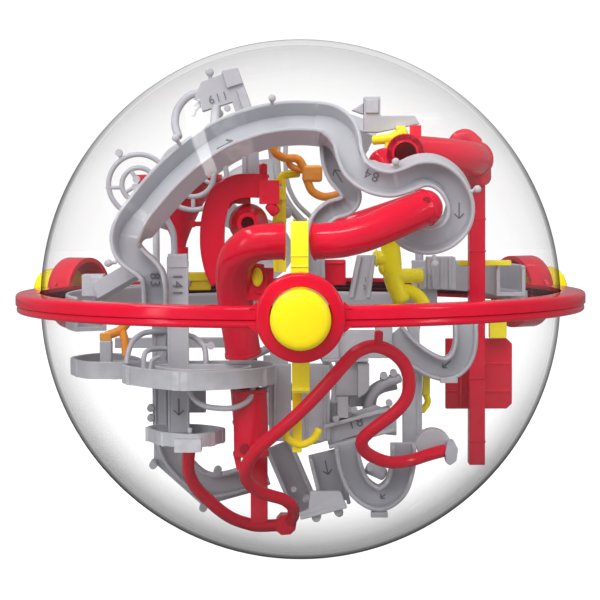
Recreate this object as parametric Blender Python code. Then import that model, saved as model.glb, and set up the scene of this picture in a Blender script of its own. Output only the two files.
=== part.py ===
"""Ball maze game: a clear sphere in two halves, clamped by a red equator ring with three hubs,
around a maze of grey tracks, red tubes and yellow and orange rails for one steel marble.

Frame: origin at the ball's centre, +Z up, the equator ring in the plane z = 0, the front hub
at -Y and the other two hubs 120 degrees to either side. Sizes here are in millimetres; MM
turns them into metres as each mesh is made.
"""

import math

import bmesh
import bpy
from mathutils import Matrix, Vector

MM = 0.001

# ---------------------------------------------------------------- driving dimensions, mm
BALL_RADIUS = 98.2
WALL = 2.2
FLANGE_RADIUS = 103.4
FLANGE_TOP = 1.8
HALF_GAP = 0.15
RING_RADIUS = 107.5
RING_LOWER_RADIUS = 106.8
RING_BORE = 98.6
RING_RECESS = 104.0
RING_HALF_HEIGHT = 3.6
RING_PARTING = -0.8
RING_EDGE = 0.7
HUB_ANGLES = {"front": -90.0, "left": 150.0, "right": 30.0}
HUB_RADIUS = 14.6
HUB_BORE = 12.8
HUB_INNER_END = 99.3
HUB_FACE = 110.5
HUB_PLATE = 2.4
CAP_RADIUS = 9.8
CAP_END = 122.5
CAP_CLEARANCE = 0.3
MARBLE_RADIUS = 3.175
TURNS = 48

TRACK_WALL = 1.4
TRACK_FLOOR = 1.5
TUBE_WALL = 1.8
ROD_RADIUS = 1.5

FRONT = Vector((0, -1, 0))
REAR = Vector((0, 1, 0))
TOP = Vector((0, 0, 1))
BANKED = Vector((0, -0.94, -0.34))
ARC_TILT = math.radians(40)


# ---------------------------------------------------------------- materials and objects
def clear_scene():
    for obj in list(bpy.data.objects):
        bpy.data.objects.remove(obj, do_unlink=True)


def material(name, colour, roughness, metallic=0.0, alpha=1.0):
    made = bpy.data.materials.new(name)
    made.use_nodes = True
    shader = made.node_tree.nodes["Principled BSDF"]
    shader.inputs["Base Color"].default_value = (*colour, 1)
    shader.inputs["Roughness"].default_value = roughness
    shader.inputs["Metallic"].default_value = metallic
    shader.inputs["Alpha"].default_value = alpha
    made.diffuse_color = (*colour, alpha)
    return made


def add_object(name, bm, paint, smooth_angle=40.0):
    """Turns a bmesh, in millimetres, into a named object in metres."""
    bmesh.ops.recalc_face_normals(bm, faces=bm.faces)
    bmesh.ops.scale(bm, vec=(MM, MM, MM), verts=bm.verts)
    mesh = bpy.data.meshes.new(name)
    bm.to_mesh(mesh)
    bm.free()
    mesh.materials.append(paint)
    mesh.shade_smooth()
    mesh.set_sharp_from_angle(angle=math.radians(smooth_angle))
    obj = bpy.data.objects.new(name, mesh)
    bpy.context.scene.collection.objects.link(obj)
    return obj


def join(base, *shapes):
    """Unites helper shapes with a base object, by Booleans that stay on it."""
    for number, shape in enumerate(shapes):
        helper = add_object(f"{base.name}_add_{number}", shape, base.data.materials[0])
        boolean(base, helper, "UNION")
    return base


def cut(base, *shapes):
    for number, shape in enumerate(shapes):
        helper = add_object(f"{base.name}_cut_{number}", shape, base.data.materials[0])
        boolean(base, helper, "DIFFERENCE")
    return base


def boolean(base, helper, operation):
    helper.hide_render = True
    helper.display_type = "WIRE"
    modifier = base.modifiers.new(helper.name, "BOOLEAN")
    modifier.operation = operation
    modifier.solver = "EXACT"
    modifier.object = helper


# ---------------------------------------------------------------- routes
def smooth_route(points, steps):
    """A Catmull-Rom curve through the points, with this many steps to each stretch."""
    places = [Vector(p) for p in points]
    ends = [places[0] * 2 - places[1]] + places + [places[-1] * 2 - places[-2]]
    route = []
    for a, b, c, d in zip(ends, ends[1:], ends[2:], ends[3:]):
        for step in range(steps):
            t = step / steps
            route.append(
                0.5 * (2 * b + (c - a) * t + (2 * a - 5 * b + 4 * c - d) * t**2)
                + 0.5 * (3 * b - a - 3 * c + d) * t**3
            )
    route.append(places[-1])
    return route


def level_arc(radius, start, end, height, steps):
    """Points along a level arc about the ball's vertical axis, angles in degrees."""
    angles = [math.radians(start + (end - start) * i / steps) for i in range(steps + 1)]
    return [Vector((radius * math.cos(a), radius * math.sin(a), height)) for a in angles]


def upright_arc(centre_z, radius, y, start, end, steps):
    """Points along an arc in a plane facing the front, angles in degrees from +X."""
    angles = [math.radians(start + (end - start) * i / steps) for i in range(steps + 1)]
    return [
        Vector((radius * math.cos(a), y, centre_z + radius * math.sin(a))) for a in angles
    ]


def directions(route, closed):
    """The unit direction of travel at each point of a route."""
    last = len(route) - 1
    for i in range(len(route)):
        before = route[i - 1] if i or closed else route[0]
        after = route[(i + 1) % len(route)] if i < last or closed else route[last]
        yield (after - before).normalized()


def out_vectors(route, out, closed):
    """The open side at each point: a fixed vector or a rule, squared to the travel."""
    for place, along in zip(route, directions(route, closed)):
        wanted = out(place) if callable(out) else out
        side = along.cross(wanted).normalized()
        yield along, side, side.cross(along)


def carried_vectors(route, closed):
    """A side vector carried along the route without twist, for round sections."""
    steps = list(directions(route, closed))
    least = min(range(3), key=lambda axis: abs(steps[0][axis]))
    side = steps[0].cross(Vector([float(axis == least) for axis in range(3)]))
    for along in steps:
        side = (side - along * side.dot(along)).normalized()
        yield along, side, side.cross(along)


# ---------------------------------------------------------------- solids
def skin(bm, rings, closed):
    """Bridges each ring of vertices to the next one."""
    followers = rings[1:] + rings[:1] if closed else rings[1:]
    for near, far in zip(rings, followers):
        for i in range(len(near)):
            j = (i + 1) % len(near)
            bm.faces.new((near[i], near[j], far[j], far[i]))


def sweep(route, outline, out, closed=False):
    """Carries a flat outline of (across, outward) pairs along a route."""
    bm = bmesh.new()
    rings = []
    for place, (_, side, up) in zip(route, out_vectors(route, out, closed)):
        rings.append([bm.verts.new(place + side * a + up * b) for a, b in outline])
    skin(bm, rings, closed)
    if not closed:
        bm.faces.new(rings[0])
        bm.faces.new(rings[-1])
    return bm


def circle(radius, sides):
    angles = [math.tau * (i + 0.5) / sides for i in range(sides)]
    return [(radius * math.cos(a), radius * math.sin(a)) for a in angles]


def rod(route, radius, sides=8, closed=False):
    """A solid round bar along a route."""
    bm = bmesh.new()
    rings = []
    for place, (_, side, up) in zip(route, carried_vectors(route, closed)):
        rings.append([bm.verts.new(place + side * a + up * b) for a, b in circle(radius, sides)])
    skin(bm, rings, closed)
    if not closed:
        bm.faces.new(rings[0])
        bm.faces.new(rings[-1])
    return bm


def tube(route, radii, wall, sides=10):
    """A round pipe along a route, open at both ends, with an outer radius at each point."""
    bm = bmesh.new()
    outer, inner = [], []
    for place, radius, (_, side, up) in zip(route, radii, carried_vectors(route, False)):
        for rings, size in ((outer, radius), (inner, radius - wall)):
            rings.append([bm.verts.new(place + side * a + up * b) for a, b in circle(size, sides)])
    skin(bm, outer, False)
    skin(bm, inner, False)
    for i in range(sides):
        j = (i + 1) % sides
        for end in (0, -1):
            bm.faces.new((outer[end][i], outer[end][j], inner[end][j], inner[end][i]))
    return bm


def turned(outline, segments, closed_outline=True):
    """Turns an outline of (radius, height) pairs about Z. An outline that isn't closed starts
    and ends on the axis."""
    bm = bmesh.new()
    profile = [bm.verts.new((r, 0, z)) for r, z in outline]
    pairs = list(zip(profile, profile[1:]))
    if closed_outline:
        pairs.append((profile[-1], profile[0]))
    edges = [bm.edges.new(pair) for pair in pairs]
    bmesh.ops.spin(
        bm,
        geom=profile + edges,
        cent=(0, 0, 0),
        axis=(0, 0, 1),
        angle=math.tau,
        steps=segments,
        use_merge=True,
    )
    bmesh.ops.remove_doubles(bm, verts=bm.verts, dist=0.001)
    return bm


def block(low, high):
    bm = bmesh.new()
    bmesh.ops.create_cube(bm, size=1)
    size = Vector(high) - Vector(low)
    bmesh.ops.scale(bm, vec=size, verts=bm.verts)
    bmesh.ops.translate(bm, vec=(Vector(low) + Vector(high)) / 2, verts=bm.verts)
    return bm


def plate(outline, front, back):
    """A flat plate that faces the front: an outline of (x, z) pairs between two y values."""
    bm = bmesh.new()
    face = bm.faces.new([bm.verts.new((x, front, z)) for x, z in outline])
    made = bmesh.ops.extrude_face_region(bm, geom=[face])["geom"]
    corners = [item for item in made if isinstance(item, bmesh.types.BMVert)]
    bmesh.ops.translate(bm, vec=(0, back - front, 0), verts=corners)
    return bm


def u_section(width, height):
    """The outline of a track: its rim is at outward 0 and its floor below."""
    half = width / 2
    floor = TRACK_FLOOR - height
    return [
        (-half, -height),
        (half, -height),
        (half, 0),
        (half - TRACK_WALL, 0),
        (half - TRACK_WALL, floor),
        (TRACK_WALL - half, floor),
        (TRACK_WALL - half, 0),
        (-half, 0),
    ]


def bar_section(width, height):
    half = width / 2
    return [(-half, -height), (half, -height), (half, 0), (-half, 0)]


def even(radius, route):
    return [radius] * len(route)


# ---------------------------------------------------------------- casing
def dome_outline(radius, start, steps):
    """A quarter circle from near the equator to the pole, as (radius, height) pairs."""
    first = math.asin(start / radius)
    angles = [first + (math.pi / 2 - first) * i / steps for i in range(steps + 1)]
    return [(radius * math.cos(a), radius * math.sin(a)) for a in angles]


def make_shells(clear):
    inner = dome_outline(BALL_RADIUS - WALL, HALF_GAP, 6)
    outer = dome_outline(BALL_RADIUS, FLANGE_TOP, 7)
    flange = [(FLANGE_RADIUS, FLANGE_TOP), (FLANGE_RADIUS, HALF_GAP)]
    outline = outer[::-1] + flange + inner
    outline = [(abs(r) if abs(r) > 0.001 else 0.0, z) for r, z in outline]
    for name, turn in (("upper_shell", 0.0), ("lower_shell", math.pi)):
        shell = add_object(name, turned(outline, TURNS, closed_outline=False), clear)
        shell.rotation_euler = (turn, 0, 0)


def ring_outline(radius, face, parting):
    """One half of the equator ring: a flat plate over the flange and a wall around it."""
    plate_edge = math.copysign(2.1, face)
    corner = math.copysign(RING_EDGE, face)
    return [
        (RING_BORE, face),
        (radius - RING_EDGE, face),
        (radius, face - corner),
        (radius, parting),
        (RING_RECESS, parting),
        (RING_RECESS, plate_edge),
        (RING_BORE, plate_edge),
    ]


def make_ring(red):
    upper = ring_outline(RING_RADIUS, RING_HALF_HEIGHT, RING_PARTING + HALF_GAP)
    lower = ring_outline(RING_LOWER_RADIUS, -RING_HALF_HEIGHT, RING_PARTING - HALF_GAP)
    add_object("ring_upper", turned(upper, TURNS), red)
    add_object("ring_lower", turned(lower, TURNS), red)


def make_hubs(red, yellow):
    """Each hub is a cup that clips over the ring through two slots, with a domed cap."""
    plate_back = HUB_FACE - HUB_PLATE
    hole = CAP_RADIUS + CAP_CLEARANCE
    cup = [
        (hole, plate_back),
        (hole, HUB_FACE),
        (HUB_RADIUS - 1.2, HUB_FACE),
        (HUB_RADIUS, HUB_FACE - 1.2),
        (HUB_RADIUS, HUB_INNER_END),
        (HUB_BORE, HUB_INNER_END),
        (HUB_BORE, plate_back),
    ]
    cap_back = RING_RADIUS + CAP_CLEARANCE
    cap = [
        (0, cap_back),
        (CAP_RADIUS, cap_back),
        (CAP_RADIUS, CAP_END - 3.2),
        (CAP_RADIUS - 0.5, CAP_END - 1.7),
        (CAP_RADIUS - 1.8, CAP_END - 0.7),
        (CAP_RADIUS - 4.3, CAP_END - 0.2),
        (0, CAP_END),
    ]
    slot = RING_HALF_HEIGHT + CAP_CLEARANCE
    for place, angle in HUB_ANGLES.items():
        turn = Matrix.Rotation(math.radians(angle), 4, "Z") @ Matrix.Rotation(math.pi / 2, 4, "Y")
        housing = add_object(f"hub_housing_{place}", turned(cup, 28), red)
        cutter_low = (-slot, -HUB_RADIUS - 1, HUB_INNER_END - 5)
        cutter_high = (slot, HUB_RADIUS + 1, plate_back)
        cut(housing, block(cutter_low, cutter_high))
        button = add_object(f"hub_cap_{place}", turned(cap, 24, closed_outline=False), yellow)
        for obj in (housing, button, bpy.data.objects[f"{housing.name}_cut_0"]):
            obj.matrix_world = turn


# ---------------------------------------------------------------- the marble and its start
START_LOW = Vector((-8.0, -76.0, -4.0))
START_HIGH = Vector((10.0, -76.0, -3.2))
TRAY_WIDTH = 10.0
TRAY_HEIGHT = 6.0
TRAY_END = 4.9


def make_start(grey, steel):
    """The marble stands at the low end of a straight tray, and can roll to the other end."""
    slope = (START_HIGH - START_LOW).normalized()
    lift = TRAY_HEIGHT - TRACK_FLOOR - MARBLE_RADIUS - 0.05
    rim = Vector((0, 0, lift))
    low = START_LOW - slope * TRAY_END + rim
    high = START_HIGH + slope * TRAY_END + rim
    solid = sweep([low, high], bar_section(TRAY_WIDTH, TRAY_HEIGHT), TOP)
    tray = add_object("start_tray", solid, grey)
    hollow = [low + slope * TRACK_WALL, high - slope * TRACK_WALL]
    hollow = [end + Vector((0, 0, 1)) for end in hollow]
    inner = bar_section(TRAY_WIDTH - 2 * TRACK_WALL, TRAY_HEIGHT - TRACK_FLOOR + 1)
    cut(tray, sweep(hollow, inner, TOP))
    ball = bmesh.new()
    bmesh.ops.create_uvsphere(ball, u_segments=14, v_segments=8, radius=MARBLE_RADIUS)
    marble = add_object("marble", ball, steel, smooth_angle=180.0)
    marble.location = START_LOW * MM


# ---------------------------------------------------------------- grey tracks
def arc_out(place):
    """The big arc leans back: it opens towards the front and away from the arc's centre."""
    away = Vector((place.x, 0, place.z - ARC_CENTRE_Z)).normalized()
    side = math.copysign(1, place.y)
    return away * math.sin(ARC_TILT) + Vector((0, side, 0)) * math.cos(ARC_TILT)


ARC_CENTRE_Z = 6.0
ARC_WIDTH = 14.0
ARC_HEIGHT = 7.5

LEG_83 = [(-59.6, -57.5, 24), (-58.6, -57.5, 16), (-54, -57, 11.5), (-52, -55, 5), (-52, -52, -4)]
CHANNEL_18 = [Vector((9, -47, -46.8)), Vector((33, -47, -40.4))]

# name: (route through the middle of the rim, outward side, width, height)
TRACKS = {
    "leg_141": ([(-43.6, -42, 19), (-43.6, -42, -12), (-43.6, -42, -45)], REAR, 7.0, 6.0),
    "s_track_84": (
        [
            (17.3, -64, 52.2), (19, -64, 48.6), (24.5, -65, 44.8), (31, -65, 43.2),
            (37, -64, 44.8), (42.5, -62, 46.8), (48, -60, 46.3), (53, -59, 42.5),
            (56, -58, 36), (55, -58, 29.5), (50.5, -60, 25), (44.5, -61, 23.4),
            (38.5, -62, 25), (34.5, -62, 29),
        ],
        BANKED, 10.0, 7.0,
    ),
    "branch_track": (
        [
            (11, -52, 54), (13.8, -52, 47.5), (16.4, -52, 42.5), (15.6, -52, 37.5),
            (10.6, -52, 34), (6.6, -52, 28.5), (5, -52, 20), (5, -52, 10.5),
        ],
        FRONT, 7.6, 6.0,
    ),
    "platform_left": (
        [(-82, -14, -20.5), (-79, -26, -20.5), (-70.5, -36.5, -20.5), (-57.5, -43, -20.5)],
        TOP, 11.0, 6.5,
    ),
    "tray_low": (
        [(-51, -51, -42.5), (-45, -57.5, -42.5), (-35.5, -64.5, -42.5), (-27, -68.5, -42.5)],
        TOP, 9.0, 6.5,
    ),
    "v_track": (
        [
            (-49.5, -16, -48), (-48, -16, -57), (-42, -16, -66.5), (-34.5, -16, -71.5),
            (-26, -16, -71), (-14, -16, -67),
        ],
        FRONT, 9.0, 6.0,
    ),
    "arrow_channel": ([(8.1, -46, -54), (12.6, -42, -73)], FRONT, 11.0, 6.0),
    "u_track_low": (
        [
            (16.5, -53, -52), (18, -52, -58.5), (21.5, -50, -64), (28.5, -48, -67),
            (35, -48.5, -64.5), (38.5, -50, -58.5), (38.5, -52, -50),
        ],
        FRONT, 9.0, 6.5,
    ),
    "u_track_right": (
        [
            (36, -45, -6.5), (40.5, -45, -12.5), (47, -45, -18.6), (53.5, -45, -20.6),
            (58.5, -45, -16.5), (60, -45, -10), (60, -45, -5.5),
        ],
        FRONT, 8.6, 6.5,
    ),
    "s_track_rear": (
        [
            (-8, 60, 50), (-20, 61, 48.5), (-30, 61, 42), (-31, 62, 33.5), (-22, 64, 28),
            (-11, 67, 23), (-8, 68, 14.5), (-16, 68, 8), (-28, 66, 6),
        ],
        REAR, 9.6, 7.0,
    ),
    "u_track_rear": (
        [
            (-10, 58, -34), (-12, 57, -44), (-8, 55, -53), (2, 54, -57.5), (12, 54, -54),
            (17, 56, -45), (17, 58, -34),
        ],
        REAR, 9.6, 6.5,
    ),
}


def make_grey_tracks(grey):
    rim = upright_arc(ARC_CENTRE_Z, 61.3, -59, 164, 69, 16)
    section = u_section(ARC_WIDTH, ARC_HEIGHT)
    arc = add_object("arc_track", sweep(rim, section, arc_out), grey)
    join(arc, sweep(smooth_route(LEG_83, 2), u_section(9.0, 7.0), FRONT))
    rim = upright_arc(ARC_CENTRE_Z, 64.0, 54, 160, 62, 14)
    add_object("arc_track_rear", sweep(rim, section, arc_out), grey)
    for name, (route, out, width, height) in TRACKS.items():
        steps = 1 if len(route) < 4 else 2
        bm = sweep(smooth_route(route, steps), u_section(width, height), out)
        add_object(name, bm, grey)
    galleries = {
        "gallery_front": (80.5, 225, 262.5, -18.5, 12.5, 8.3),
        "gallery_left": (83.0, 203, 135, 2.5, 12.0, 12.0),
        "gallery_right": (80.0, -2, 52, 12.0, 11.0, 11.0),
        "gallery_rear": (80.0, 57, 130, -2.0, 11.0, 8.0),
    }
    for name, (radius, start, end, height, width, depth) in galleries.items():
        route = level_arc(radius, start, end, height, max(5, int(abs(end - start) / 7)))
        add_object(name, sweep(route, u_section(width, depth), TOP), grey)
    join(bpy.data.objects["platform_left"], block((-72.6, -39, -26), (-68.2, -34.8, -12.5)))


def ring_rod(centre, radius, thickness):
    turns = 16
    angles = [math.tau * i / turns for i in range(turns)]
    middle = Vector(centre)
    route = [middle + Vector((radius * math.cos(a), 0, radius * math.sin(a))) for a in angles]
    return rod(route, thickness, 6, closed=True)


def make_targets(grey):
    """Two rounds of concentric wire rings, each on a stalk."""
    left, rear = (-60.5, -8, 43.5), (-43, 24, 50)
    target = add_object("target_rings", ring_rod(left, 13.0, 1.2), grey)
    spokes = [((-73.5, -8, 43.5), (-68, -8, 43.5)), ((-65.5, -8, 50), (-62.6, -8, 46.6))]
    shapes = [ring_rod(left, 7.7, 1.2)] + [rod([Vector(a), Vector(b)], 1.0) for a, b in spokes]
    shapes.append(rod([Vector((-54.5, -8, 32)), Vector((-54.5, -8, 6))], 1.6))
    shapes.append(rod([Vector((-56, -8, 37.5)), Vector((-52.5, -8, 33.5))], 1.0))
    join(target, *shapes)
    target = add_object("target_rings_rear", ring_rod(rear, 15.0, 1.3), grey)
    stalk = smooth_route([(-54.6, 24, 40.4), (-53, 24, 31), (-50.5, 24, 18)], 3)
    shapes = [
        ring_rod(rear, 9.5, 1.3),
        rod([Vector((-43, 24, 65)), Vector((-43, 24, 59.4))], 1.1),
        rod([Vector((-43, 24, 40.6)), Vector((-43, 24, 35))], 1.1),
        rod(stalk, 1.5),
    ]
    join(target, *shapes)


def make_grey_blocks(grey):
    outline = [
        (-38.5, 74.6), (-35.8, 81.0), (-28.6, 83.6), (-28, 85), (-22.5, 86),
        (-17, 70.5), (-23, 69), (-24.6, 73.6), (-35.5, 70.2), (-36.6, 74),
    ]
    number_block = add_object("block_119", plate(outline, -28, -21), grey)
    outer = [
        (-35, -25, 77.4), (-40.5, -25, 76), (-44.5, -25, 71.5), (-45.5, -27, 66), (-44, -31, 61),
    ]
    inner = [(-34, -25, 73.6), (-37.4, -25, 72.3), (-39.5, -25, 69)]
    join(number_block, rod(smooth_route(outer, 2), 1.4, 6), rod(smooth_route(inner, 2), 1.3, 6))

    bracket = [
        (23.5, 62.5), (29, 62.5), (44, 65.5), (42, 68.5), (29.5, 68.5), (29.5, 75.5), (23.5, 75.5),
    ]
    add_object("bracket_top", plate(bracket, -26, -18), grey)
    add_object("number_post", plate([(17, 2), (20.4, 18), (27, 18), (25, 2)], -44, -38), grey)
    add_object("tower", block((47, -20, 4.5), (57.5, -10, 16.5)), grey)

    columns = add_object("columns_front", block((-11.5, -45, -48.5), (-3.5, -39, -21)), grey)
    channel = sweep(CHANNEL_18, u_section(9.0, 7.0), FRONT)
    second_column = block((0, -45, -48.5), (10.4, -39, -21))
    bridge = block((-6, -43, -34), (3, -40.5, -28))
    join(columns, second_column, bridge, channel)
    add_object("column_right", block((37, -37, -51.5), (44, -32, -16.5)), grey)

    hoop = [
        (-60, -57, -16.9), (-60.2, -55, -12.5), (-57, -49, -9), (-51, -42, -7.3), (-44, -38.7, -7),
        (-38, -42, -9.5), (-34.5, -50, -13), (-33, -57, -17.5),
    ]
    add_object("arch_rod", rod(smooth_route(hoop, 2), ROD_RADIUS, 6), grey)
    hoop = [
        (-38, -70, -28.8), (-36.5, -70, -31.5), (-31, -71, -34), (-24, -73, -34),
        (-19, -75, -31.5), (-16.8, -76, -28.8),
    ]
    add_object("loop_rod", rod(smooth_route(hoop, 2), ROD_RADIUS, 6), grey)


# ---------------------------------------------------------------- red tubes and slides
TUBES = {
    "elbow_tube": (
        [
            (-5.5, -72, 24.5), (-13, -71, 24), (-18.5, -68.5, 21), (-21.3, -64.5, 15.5),
            (-21.8, -60, 8), (-21.3, -56, 0), (-20, -52, -9), (-19, -49, -17.5),
        ],
        6.4,
    ),
    "lower_tube": ([(-18, -60, -28), (-17.6, -60, -40), (-17.5, -60, -51.5)], 5.9),
    "curved_tube": (
        [
            (5, -77, 24.5), (12, -78, 25), (20, -77, 26), (28.5, -75, 29), (36.5, -72, 32),
            (45, -68, 35),
        ],
        6.0,
    ),
    "horn_tube": (
        [(37.5, -46, 54.5), (44, -35, 54), (52, -24, 54), (60, -14, 53.6), (67, -8.5, 53)],
        6.9,
    ),
    "tube_rear_upper": (
        [(12, 74, 24), (22, 72, 26), (33, 67, 29.5), (43, 60, 33), (51, 52, 36)],
        6.0,
    ),
    "tube_rear_lower": ([(-24, 66, -19), (-24, 64, -32), (-23, 60, -44), (-22, 56, -54)], 6.0),
}

S_SLIDE = [
    (52, -51, -53.5), (45.5, -53, -55), (38, -57, -55.5), (30.5, -60.5, -55), (24, -64.5, -52.5),
    (20.5, -68.5, -48), (20.7, -71.5, -43.8), (25, -74, -39), (31, -76, -34), (35.4, -78, -28.5),
    (37, -80, -22.5), (35, -83, -16.5), (30.5, -85.5, -12), (26, -86.5, -10.5), (20.5, -87, -12.5),
    (14.5, -87, -18), (7.5, -85, -25), (0, -82.5, -32.5), (-7.5, -80, -38), (-14.5, -76.5, -43.5),
    (-18, -72, -50), (-17.5, -66, -56.5), (-13.5, -60, -62), (-7, -55, -66), (-3, -47, -71),
    (-4.5, -37, -75),
]
LOW_SLIDE = [
    (-39, -56, -52.5), (-39.3, -50, -58.5), (-37.5, -44, -64.5), (-33.5, -38, -71),
    (-27, -33, -76.5), (-19, -30, -80), (-6, -30, -81.5),
]
C_TRACK = [
    (-11.5, -38, 46.5), (-17.5, -38, 46.8), (-24, -38, 46.2), (-31, -38, 42), (-34.5, -38, 33),
    (-35.3, -38, 22), (-33.8, -38, 13), (-31.5, -38, 7.5),
]
C_CENTRE = Vector((-18, -38, 26))


def make_red(red):
    for name, (points, radius) in TUBES.items():
        route = smooth_route(points, 2)
        add_object(name, tube(route, even(radius, route), TUBE_WALL), red)
    add_object("s_slide", rod(smooth_route(S_SLIDE, 2), 2.1, 6), red)
    slide = add_object("slide_low", rod(smooth_route(LOW_SLIDE, 2), 2.2, 6), red)
    strap = plate([(-18.5, -81.5), (-12, -82), (-12, -56), (-18.5, -56)], -32, -28.6)
    join(slide, block((-8.5, -36, -84.5), (-1.5, -29, -78.2)), strap)
    c_route = smooth_route(C_TRACK, 2)
    c_shape = sweep(c_route, u_section(8.6, 8.0), lambda place: place - C_CENTRE)
    add_object("c_track", c_shape, red)

    cone = turned([(2.3, 0), (3.8, 0), (7.0, 8), (7.0, 10), (5.6, 10), (2.3, 3)], 20)
    cone_obj = add_object("entry_cone", cone, red)
    cone_obj.location = Vector((-18.8, -42, 29.6)) * MM
    cone_obj.rotation_euler = (-math.pi / 2, 0, 0)

    bell = [(5.0, 0), (6.0, 9), (8.6, 19), (12.5, 27), (11.0, 27), (7.2, 19), (4.6, 9), (3.6, 0)]
    funnel = add_object("funnel", turned(bell, 24), red)
    funnel.location = Vector((-41, 8, 19)) * MM

    add_object("pillar_right", block((63.5, -10, -62.5), (69.5, -6, 45.6)), red)
    corner_cut = [(55.5, -42.5), (79, -42.5), (81, -40.5), (81, -17.5), (79, -15.5), (55.5, -15.5)]
    add_object("plate_right", plate(corner_cut, 2, 5), red)


# ---------------------------------------------------------------- yellow and orange pieces
STRAP_THICKNESS = 2.4


def make_yellow(yellow):
    upper = [
        (-0.2, -85, 31), (-0.2, -87.3, 21), (-0.2, -88.6, 8), (0, -88.8, -5), (0, -87.6, -17),
        (0, -85.4, -27),
    ]
    band = bar_section(6.0, STRAP_THICKNESS)
    strap = add_object("strap_front", sweep(smooth_route(upper, 1), band, FRONT), yellow)
    lower = [(-1.3, -84.6, -24), (-1.3, -79, -31), (-1.3, -76.8, -40), (-1.4, -75, -48.5)]
    hook = [
        (-5.7, -76, -40.5), (-4.2, -75.6, -43.6), (0, -75, -45.6), (4.2, -75.6, -43.6),
        (6, -76, -40.5),
    ]
    tail = sweep(smooth_route(lower, 1), bar_section(3.2, STRAP_THICKNESS), FRONT)
    join(strap, tail, rod(smooth_route(hook, 2), 1.3, 6))

    rear = [(0, 85, 30), (0, 88.5, 14), (0, 89, 1), (0, 88.5, -14), (0, 85, -30)]
    add_object("strap_rear", sweep(smooth_route(rear, 1), band, REAR), yellow)

    post = add_object("post_yellow", block((-10, -25, 11.5), (-5.2, -20, 45.5)), yellow)
    arm = [(-7.5, -22.5, 44), (-6.5, -22.5, 46.6), (-3.6, -22.5, 47.4), (-0.6, -22.5, 47.7)]
    join(post, rod(smooth_route(arm, 2), 1.5, 6))

    spout = [(27, -28, 59.5), (33.5, -28, 60.3), (38, -28, 62)]
    pipe = add_object("spout_yellow", rod(smooth_route(spout, 2), 2.5), yellow)
    join(pipe, block((31, -29.4, 48.5), (33.2, -26.6, 59)))

    stem = [(32.5, -28, 24), (33.5, -28, 16), (34, -28, 9), (37, -28, 1.5)]
    manifold = add_object("manifold", rod(smooth_route(stem, 2), 3.4), yellow)
    arms = [((27.5, -28, 16.5), (34, -28, 16.5), 2.7), ((34, -28, 10), (44, -28, 10), 2.7)]
    join(manifold, *[rod([Vector(a), Vector(b)], r) for a, b, r in arms])


HELIX_FOOT = Vector((68, 24, -43))
HELIX_RADIUS = 7.5


def make_orange(orange):
    rail = [(-10, -30, 58), (-8.8, -30, 55), (-5.5, -28, 53.2), (-0.8, -26, 52.8), (1.8, -25, 49)]
    tail = [(2.6, -25, 45), (4.6, -25, 41), (9, -25, 39), (15, -25, 40)]
    twist = add_object("twist_rail", block((0.6, -27, 44.2), (8.4, -23, 50.8)), orange)
    join(twist, rod(smooth_route(rail, 2), 1.4, 6), rod(smooth_route(tail, 2), 1.4, 6))

    prong = [(-62, -33, -5.4), (-65.5, -35.5, -9), (-70.2, -37, -10.8)]
    fork = add_object("wishbone", rod(smooth_route(prong, 2), 1.5, 6), orange)
    leg = [(-65, -35, -8.4), (-63.6, -37, -13), (-63.2, -38, -18)]
    join(fork, rod(smooth_route(leg, 2), 1.4, 6))

    turns, steps, pitch = 2.5, 36, 9.5
    route = []
    for i in range(steps + 1):
        angle = math.tau * turns * i / steps
        climb = pitch * angle / math.tau
        spoke = Vector((HELIX_RADIUS * math.cos(angle), HELIX_RADIUS * math.sin(angle), climb))
        route.append(HELIX_FOOT + spoke)
    add_object("helix_rail", sweep(route, bar_section(5.0, 1.6), TOP), orange)


def main():
    clear_scene()
    clear = material("clear_plastic", (0.9, 0.93, 0.95), 0.05, alpha=0.3)
    red = material("red_plastic", (0.86, 0.02, 0.06), 0.22)
    yellow = material("yellow_plastic", (0.95, 0.78, 0.02), 0.28)
    grey = material("grey_plastic", (0.5, 0.49, 0.52), 0.35)
    orange = material("orange_plastic", (0.85, 0.33, 0.04), 0.32)
    steel = material("steel", (0.75, 0.75, 0.77), 0.15, metallic=1.0)
    make_shells(clear)
    make_ring(red)
    make_hubs(red, yellow)
    make_start(grey, steel)
    make_grey_tracks(grey)
    make_targets(grey)
    make_grey_blocks(grey)
    make_red(red)
    make_yellow(yellow)
    make_orange(orange)


main()
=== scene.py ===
"""Looks of the ball maze game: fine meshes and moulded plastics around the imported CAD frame.

Places and sizes are in millimetres in the frame's own axes (origin at the ball's centre, +Z up,
the front hub at -Y); MM turns them into metres as each mesh is made. Each fine piece stands for
the CAD node of the same name.
"""

import math

import bmesh
import bpy
from mathutils import Matrix, Vector


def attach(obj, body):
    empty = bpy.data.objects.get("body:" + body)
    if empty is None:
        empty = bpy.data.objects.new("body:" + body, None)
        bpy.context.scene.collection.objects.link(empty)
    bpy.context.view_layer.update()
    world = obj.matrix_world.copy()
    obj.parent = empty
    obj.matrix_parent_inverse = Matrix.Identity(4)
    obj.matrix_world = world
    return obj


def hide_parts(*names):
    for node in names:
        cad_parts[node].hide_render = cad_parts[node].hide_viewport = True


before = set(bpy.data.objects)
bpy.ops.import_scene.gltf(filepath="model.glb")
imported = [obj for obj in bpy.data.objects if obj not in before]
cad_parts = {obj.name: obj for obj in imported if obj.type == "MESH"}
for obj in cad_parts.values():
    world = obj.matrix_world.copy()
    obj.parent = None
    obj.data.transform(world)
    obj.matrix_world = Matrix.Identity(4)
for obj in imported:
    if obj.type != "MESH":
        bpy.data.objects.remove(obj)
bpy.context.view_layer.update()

MM = 0.001
FRONT = Vector((0, -1, 0))
REAR = Vector((0, 1, 0))
TOP = Vector((0, 0, 1))
BANKED = Vector((0, -0.94, -0.34))
BALL = "ball"

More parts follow.
